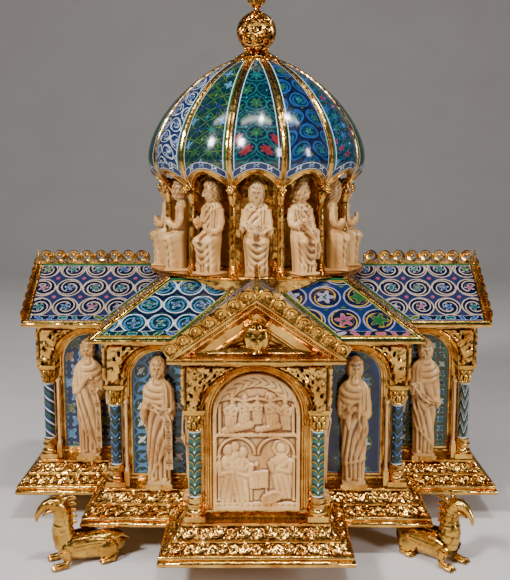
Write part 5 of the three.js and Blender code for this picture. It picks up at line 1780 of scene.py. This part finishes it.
def plaqueSheet(step):
    half = (plaqueHigh[0] - plaqueLow[0]) / 2 - 0.05
    foot, top = plaqueLow[2] + 0.1, plaqueHigh[2] - 0.1
    face, back = plaqueHigh[1] - 5, plaqueHigh[1]
    high = top - foot
    cols, rows = int(2 * half / step), int(high / step)
    a = linspace(-1, 1, cols)[None, :] * half
    crown = top - half + sqrt(clip(half ** 2 - a ** 2, 0, None))
    z = foot + (crown - foot) * linspace(0, 1, rows)[:, None]
    x = a + 0 * z
    v = z - foot
    edge = minimum(half - where(z > top - half, hypot(x, z - (top - half)), abs(x)), v)
    mid = high * plaque["middleShare"]
    lowArch = [carvedArch(x, v, side * half * 0.455, 6.5, mid - 2.6, half * 0.42, 1.1, 2.7, side) for side in (-1, 1)]
    people = [
        carvedPerson(x, v, -half * 0.50, 12, mid * 0.70, 0, 1),
        carvedPerson(x, v, -half * 0.70, 5.5, mid * 0.78, 0.03, -1),
        carvedPerson(x, v, -half * 0.34, 5.5, mid * 0.74, 0.02, 1),
        carvedPerson(x, v, half * 0.64, 8, mid * 0.76, -0.06, 1, halo=True),
        carvedPerson(x, v, -half * 0.62, mid + 2.5, high * 0.25, 0.10, 1),
        carvedPerson(x, v, -half * 0.30, mid + 5.5, high * 0.24, 0.04, -1),
        carvedPerson(x, v, half * 0.02, mid + 7.5, high * 0.21, 0, 1),
        carvedPerson(x, v, half * 0.38, mid + 3.5, high * 0.26, -0.08, -1, halo=True),
        carvedPerson(x, v, half * 0.70, mid + 3, high * 0.24, -0.06, 1),
    ]
    bed = ridgeAlong(x, v, [(-half * 0.72, mid + 2.5), (-half * 0.15, mid + 7)], 3.2, 2.6)
    bed = maximum(bed, ridgeAlong(x, v, [(half * 0.05, mid + 3.4), (half * 0.50, mid + 6)], 2.6, 2.6))
    bed = where(bed > 0, bed - 0.5 + 0.8 * fold((x + 0.5 * v) * 0.9), 0)
    altar = where((abs(x - half * 0.05) < 6.6) & (v > 16) & (v < mid * 0.52),
                  2.5 - 0.5 * bell(abs(x - half * 0.05), 0, 0.5), 0)
    legs = where((abs(abs(x - half * 0.05) - 5.4) < 0.8) & (v > 6) & (v <= 16), 2, 0)
    book = oval(x, v, half * 0.36, 9.5, 8.2, 4.6, 3.1, 0.35)
    book = where(book > 0, 2.9 - 0.7 * (mod((x * 0.94 + v * 0.34),
                                            1.7) < 0.7) * (abs(v * 0.94 - x * 0.34 - 5.4) < 1.6), 0)
    lamp = oval(x, v, 0, mid * 0.60, 1.7, 2.3, 2.6)
    bar = 0.4 * bell(v, mid - 0.6, 0.5) + where(abs(v - mid + 0.6) < 1.5, 2.7, 0)
    tiles = where((v < 5.6), 2.5 - 0.5 * (mod(x + 40, 4.2) < 0.8), 0)
    turnBy = arctan2(x, z - (top - half))
    leafy = (edge < 9.5) & (v > high * 0.82)
    leaves = where(leafy, 1.3 + 1.4 * fold(turnBy * 13 + 1.4 * sin(edge * 0.8)), 0)
    wave = 2.8 * bell(v - high * 0.80 - 2 * abs(sin(x * 0.17 + 1.57)), 0, 1) * (edge > 2)
    border = where(edge < plaque["border"], 2.9 + 0.25 * fold(edge * 2.4), 0)
    jambs = where((abs(abs(x) - half + 4.6) < 1.1) & (v > mid + 1) & (v < high * 0.78), 2.4, 0)
    height = np.maximum.reduce([0.2 + 0 * x, tiles, bar, leaves, wave, bed, altar, legs, book, lamp, border, jambs]
                               + lowArch + people)
    height = minimum(height, 3.2)
    # a light blur keeps the carving rounded
    for axis in (0, 1):
        height = 0.1 * roll(height, 1, axis) + 0.8 * height + 0.1 * roll(height, -1, axis)
    height[edge < 0.9] = 3
    wall = stack([x, face + plaque["sunk"] - height, z], -1)
    # painted shade: creases and the deeper ground are darkened through the relief attribute
    sheet = surface(wall, relief=1.2 * creaseOf(height, 2) + 0.03 * (height - 3))
    # the rim: the outline carried back to the wall
    outline = vstack([stack([a[0], crown[0]], -1), [[half, foot], [-half, foot]]])
    rim = stack([stack([outline[:, 0], full(len(outline), y), outline[:, 1]], -1) for y in (face, back)])
    return join([sheet, surface(rim, wrap=True)])


def buildPlaques():
    # two gilt mouldings follow the plaque's outline on the sheet round it
    half = (plaqueHigh[0] - plaqueLow[0]) / 2
    turnRound = linspace(0, pi, 33)
    mouldings = []
    for grow, thick in ((2, 1.5), (5.2, 0.8)):
        wide = half + grow
        path = [(wide, plaqueLow[2])] + [(wide * cos(t), plaqueHigh[2] - half + wide * sin(t)) for t in turnRound]
        path += [(-wide, plaqueLow[2])]
        mouldings.append(tube([(x, plaqueHigh[1] - 0.6, z) for x, z in path], thick, 7, up=(0, 1, 0)))
    makePiece("plaqueMouldings", fourSides(join(mouldings)), fireGiltCopper, flatAngle=60)
    near, far = plaqueSheet(plaque["step"]), plaqueSheet(plaque["farStep"])
    for turn, sideName in enumerate(sideNames):
        makePiece("carvedPlaque_" + sideName, moved(far if turn else near, turn=turn * pi / 2), walrusIvory,
                  ["plaque_" + sideName], flatAngle=70)


# Griffins: cast beasts that lie under the corners, the head out over the paws

griffin = {"long": 60, "high": 55.6, "back": 23.4}


# Rings across the XZ plane along a spine of [x, z, half width, half thickness], smoothed between
def sweptBody(rows, sides=26, bumpOf=None):
    rows = asarray(rows, float)
    t = linspace(0, len(rows) - 1, (len(rows) - 1) * 7 + 1)
    base = arange(len(rows))
    smooth = stack([interp(t, base, rows[:, k]) for k in range(4)], -1)
    kernel = array([1, 2, 3, 4, 3, 2, 1], float)
    kernel /= kernel.sum()
    padded = vstack([np.repeat(smooth[:1], 3, 0), smooth, np.repeat(smooth[-1:], 3, 0)])
    smooth = stack([np.convolve(padded[:, k], kernel, "valid") for k in range(4)], -1)
    ahead = np.gradient(smooth[:, :2], axis=0)
    ahead /= maximum(norm(ahead, axis=1, keepdims=True), 1e-9)
    up = stack([-ahead[:, 1], ahead[:, 0]], -1)
    angle = arange(sides)[None, :] / sides * tau
    bump = bumpOf(angle, t[:, None]) if bumpOf else zeros((len(t), sides))
    wide, thick = smooth[:, 2:3] + bump, smooth[:, 3:4] + bump
    y = wide * cos(angle)
    x = smooth[:, :1] + up[:, :1] * thick * sin(angle)
    z = smooth[:, 1:2] + up[:, 1:2] * thick * sin(angle)
    return surface(stack([x, y, z], -1), wrap=True, capLow=True, capHigh=True, relief=1.5 * creaseOf(bump, 2))


def griffinPart(feathered):
    long, high, back = griffin["long"], griffin["high"], griffin["back"]
    body = sweptBody([[-0.76 * long, back * 0.42, 3, 5], [-0.66 * long, back * 0.5, 8.6, back * 0.44],
                      [-0.48 * long, back * 0.52, 9.6, back * 0.47],
                      [-0.28 * long, back * 0.5, 8.2, back * 0.42], [-0.10 * long, back * 0.55, 9, back * 0.44],
                      [0.05 * long, back * 0.72, 8.4, 8.6]],
                     30, lambda a, t: 0.25 * fold(t * 9) * (sin(a) > -0.5))
    def plumes(a, t):
        scale = abs(sin(a * 6 + floor(t * 2.2) * pi / 2)) * (1 - mod(t * 2.2, 1))
        return (1.15 if feathered else 0.45) * scale * (t > 0.2) * (t < 3.6)
    neck = sweptBody([[-0.02 * long, back * 0.62, 8.2, 9.2], [0.035 * long, high * 0.50, 7, 8.2],
                      [0.015 * long, high * 0.64, 6, 6.8],
                      [0.03 * long, high * 0.78, 6.2, 6.8], [0.09 * long, high * 0.875, 6.2, 6.2],
                      [0.18 * long, high * 0.875, 4.9, 5.2]], 32, plumes)
    beak = sweptBody([[0.14 * long, high * 0.90, 4.6, 4.6], [0.23 * long, high * 0.885, 3.3, 3.8],
                      [0.30 * long, high * 0.82, 2.3, 2.7],
                      [0.345 * long, high * 0.74, 1.4, 1.7], [0.35 * long, high * 0.655, 0.5, 0.6]], 18)
    jaw = sweptBody([[0.12 * long, high * 0.80, 3.4, 2.2], [0.21 * long, high * 0.78, 2.2, 1.5],
                     [0.275 * long, high * 0.735, 0.9, 0.7]], 14)
    parts = [body, neck, beak, jaw]
    for side in (-1, 1):
        eye = beads([(0.135 * long, side * 4.9, high * 0.905)], 1.5, 10, 7)
        lid = tube([(0.09 * long, side * 5.2, high * 0.915), (0.14 * long, side * 5.4, high * 0.945),
                    (0.20 * long, side * 4, high * 0.925)], [0.6, 0.9, 0.4], 6)
        ear = sweptBody([[0.05 * long, high * 0.90, 1.4, 1.8], [0.015 * long, high * 0.955, 1.5, 1.9],
                         [-0.03 * long, high * 0.985, 0.4, 0.5]], 10)
        ear["verts"][:, 1] += side * 4.2
        parts += [eye, lid, ear]
        # the wing: a long leaf that lies back along the flank, ribbed with quills
        u = linspace(0, 1, 30)[:, None]
        w = linspace(-1, 1, 13)[None, :]
        half = 7.2 * sin(pi * clip(u, 0.02, 0.98)) ** 0.6 * (1 - 0.35 * u)
        px = 0.10 * long - u * 0.66 * long + 0 * w
        pz = back * 0.62 + 2.6 * sin(u * 2.4) + half * w
        ridge = 0.5 * fold(w * 6 + 0 * u) * (u > 0.3) + 0.6 * abs(sin(u * 22 + w * 2)) * (u <= 0.3)
        py = 9.3 + 1.5 * sqrt(clamp(1 - w ** 2)) * sin(pi * clip(u, 0.03, 0.97)) + ridge * (1 - w ** 2)
        wing = surface(stack([px, side * py, pz], -1), relief=1.4 * creaseOf(ridge, 2), flip=side < 0)
        haunch = headlessLump((-0.52 * long, side * 8, back * 0.42), (8.4, 3.6, 8.8))
        parts += [wing, haunch]
        for x0, big in ((0.06 * long, 8.6), (-0.54 * long, 7.6)):
            leg = tube([(x0 - 2, side * 7, 12.5), (x0 - 3.5, side * 8.6, 7), (x0 - 2.5, side * 9.6, 3.2),
                        (x0 + big * 0.55, side * 9.8, 2.4)],
                       [4.6, 3.4, 3, 2.3], 12)
            parts.append(leg)
            for k in range(4):
                ty = side * 9.7 + (k - 1.5) * 2
                parts.append(tube([(x0 + big * 0.25, ty * 0.98, 2.6), (x0 + big * 0.75, ty, 2.3), (x0 + big, ty, 1)],
                                  [1.3, 1.25, 0.5], 7))
        parts.append(tube([(x0, side * 9, 1) for x0 in (-0.62 * long, -0.5 * long, -0.4 * long)], [2, 2.6, 1.6], 8,
                          flat=0.38))
    crest = [sweptBody([[-0.04 * long, high * (0.56 + 0.09 * k), 1.2, 2.2],
                        [-0.12 * long, high * (0.60 + 0.085 * k), 1.2, 1.8],
                        [-0.155 * long, high * (0.57 + 0.085 * k), 0.5, 0.7]], 10) for k in range(5)]
    tail = tube([(-0.74 * long, 2, back * 0.5), (-0.79 * long, 6, back * 0.7), (-0.70 * long, 9, back * 0.9),
                 (-0.55 * long, 9.8, back * 0.86)],
                [1.7, 1.4, 1.3, 2.2], 8)
    return join(parts + crest + [tail])


# A smooth muscle: an ellipsoid
def headlessLump(centre, radii):
    one = beads([(0, 0, 0)], 1, 18, 12)
    one["verts"] = one["verts"] * array(radii) + array(centre)
    return one


def buildGriffins():
    turns = {"front_right": 0, "back_right": 8, "back_left": -6, "front_left": -24}
    corner = (blockHalf + 26 + 9) * sqrt(2)
    for i, (place, degrees) in enumerate(turns.items()):
        beast = moved(griffinPart(place != "front_left"), turn=np.radians(degrees), shift=(corner, 0, 0))
        makePiece("castGriffin_" + place, moved(beast, turn=(i - 0.5) * pi / 2), castGiltBronze,
                  ["griffin_" + place], flatAngle=60)


buildFigures()
buildMasks()
buildPlaques()
buildGriffins()
print("stage: figures, masks, plaques and griffins")


# The camera, as fitted to the corners of the plinth, the eaves and the drum
cameraSpot = {"x": 0, "y": -787.5, "z": 309.1, "pitch": 0.150, "focalPixels": 886.7, "frameHigh": 580}


def buildCamera():
    data = bpy.data.cameras.new("camera")
    camera = placed("camera", data)
    camera.location = (cameraSpot["x"] * mm, cameraSpot["y"] * mm, cameraSpot["z"] * mm)
    camera.rotation_euler = (pi / 2 - cameraSpot["pitch"], 0, 0)
    data.sensor_fit = "VERTICAL"
    data.sensor_height = 36
    data.lens = 36 * cameraSpot["focalPixels"] / cameraSpot["frameHigh"]
    data.shift_x = -1.5 / cameraSpot["frameHigh"]
    bpy.context.scene.camera = camera


def buildLights():
    world = bpy.data.worlds.new("softRoom")
    world.use_nodes = True
    tree = world.node_tree
    # a soft room, darkest overhead so that the sloping enamels stay deep
    direction = add(tree, "TexCoord", out="Generated")
    height = add(tree, "SeparateXYZ", {0: direction}, out=2)
    shade = add(tree, "ValToRGB", {"Fac": height})
    skyTones = ((0, "#3b3733"), (0.3, "#9c958d"), (0.6, "#6d6862"), (0.92, "#161515"))
    fillRamp(shade, [(position, linear(tone)) for position, tone in skyTones])
    tree.links.new(shade.outputs[0], tree.nodes["Background"].inputs[0])
    tree.nodes["Background"].inputs[1].default_value = 0.6
    bpy.context.scene.world = world
    for name, place, wide, deep, power in (
            ("keyLight", (-0.85, -1.15, 1.15), 0.24, 0.24, 33), ("sideLight", (1.2, -1.1, 0.6), 0.2, 0.5, 14),
            ("stripLight", (0, -0.62, 1.45), 1.3, 0.12, 7), ("flashLight", (0.2, -0.60, 1.40), 0.16, 0.09, 8)):
        data = bpy.data.lights.new(name, "AREA")
        data.shape = "RECTANGLE"
        data.size, data.size_y = wide, deep
        data.energy = power
        light = placed(name, data)
        light.location = place
        light.rotation_euler = (Vector((0, 0, 0.2)) - Vector(place)).to_track_quat("-Z", "Y").to_euler()


# A floor that rises behind the object in one long curve: a quarter circle between two planes
def buildFloor():
    material, tree, shader = newMaterial("paleFloor")
    place = add(tree, "TexCoord", out="Object")
    cloud = add(tree, "TexNoise", {"Vector": place, "Scale": 6}, out="Fac")
    tone = add(tree, "ValToRGB", {"Fac": cloud})
    fillRamp(tone, [(0, linear("#c6c1bf")), (1, linear("#d2cdcb"))])
    paint(tree, shader, colour=tone.outputs[0], roughness=0.7)
    turn = linspace(0, pi / 2, 24)
    radius, start = 1500, 1500
    profile = vstack([[[-3500, 0]], stack([start + radius * sin(turn), radius - radius * cos(turn)], -1),
                      [[start + radius, 5000]]])
    across = array([-5000, 5000])
    grid = stack([stack([across, full(2, y), full(2, z)], -1) for y, z in profile])
    sweep = surface(grid)
    mesh = bpy.data.meshes.new("floor")
    mesh.from_pydata((sweep["verts"] * mm).tolist(), [], sweep["quads"].tolist())
    mesh.polygons.foreach_set("use_smooth", ones(len(mesh.polygons), bool))
    mesh.materials.append(material)
    placed("floor", mesh)


buildCamera()
buildLights()
buildFloor()
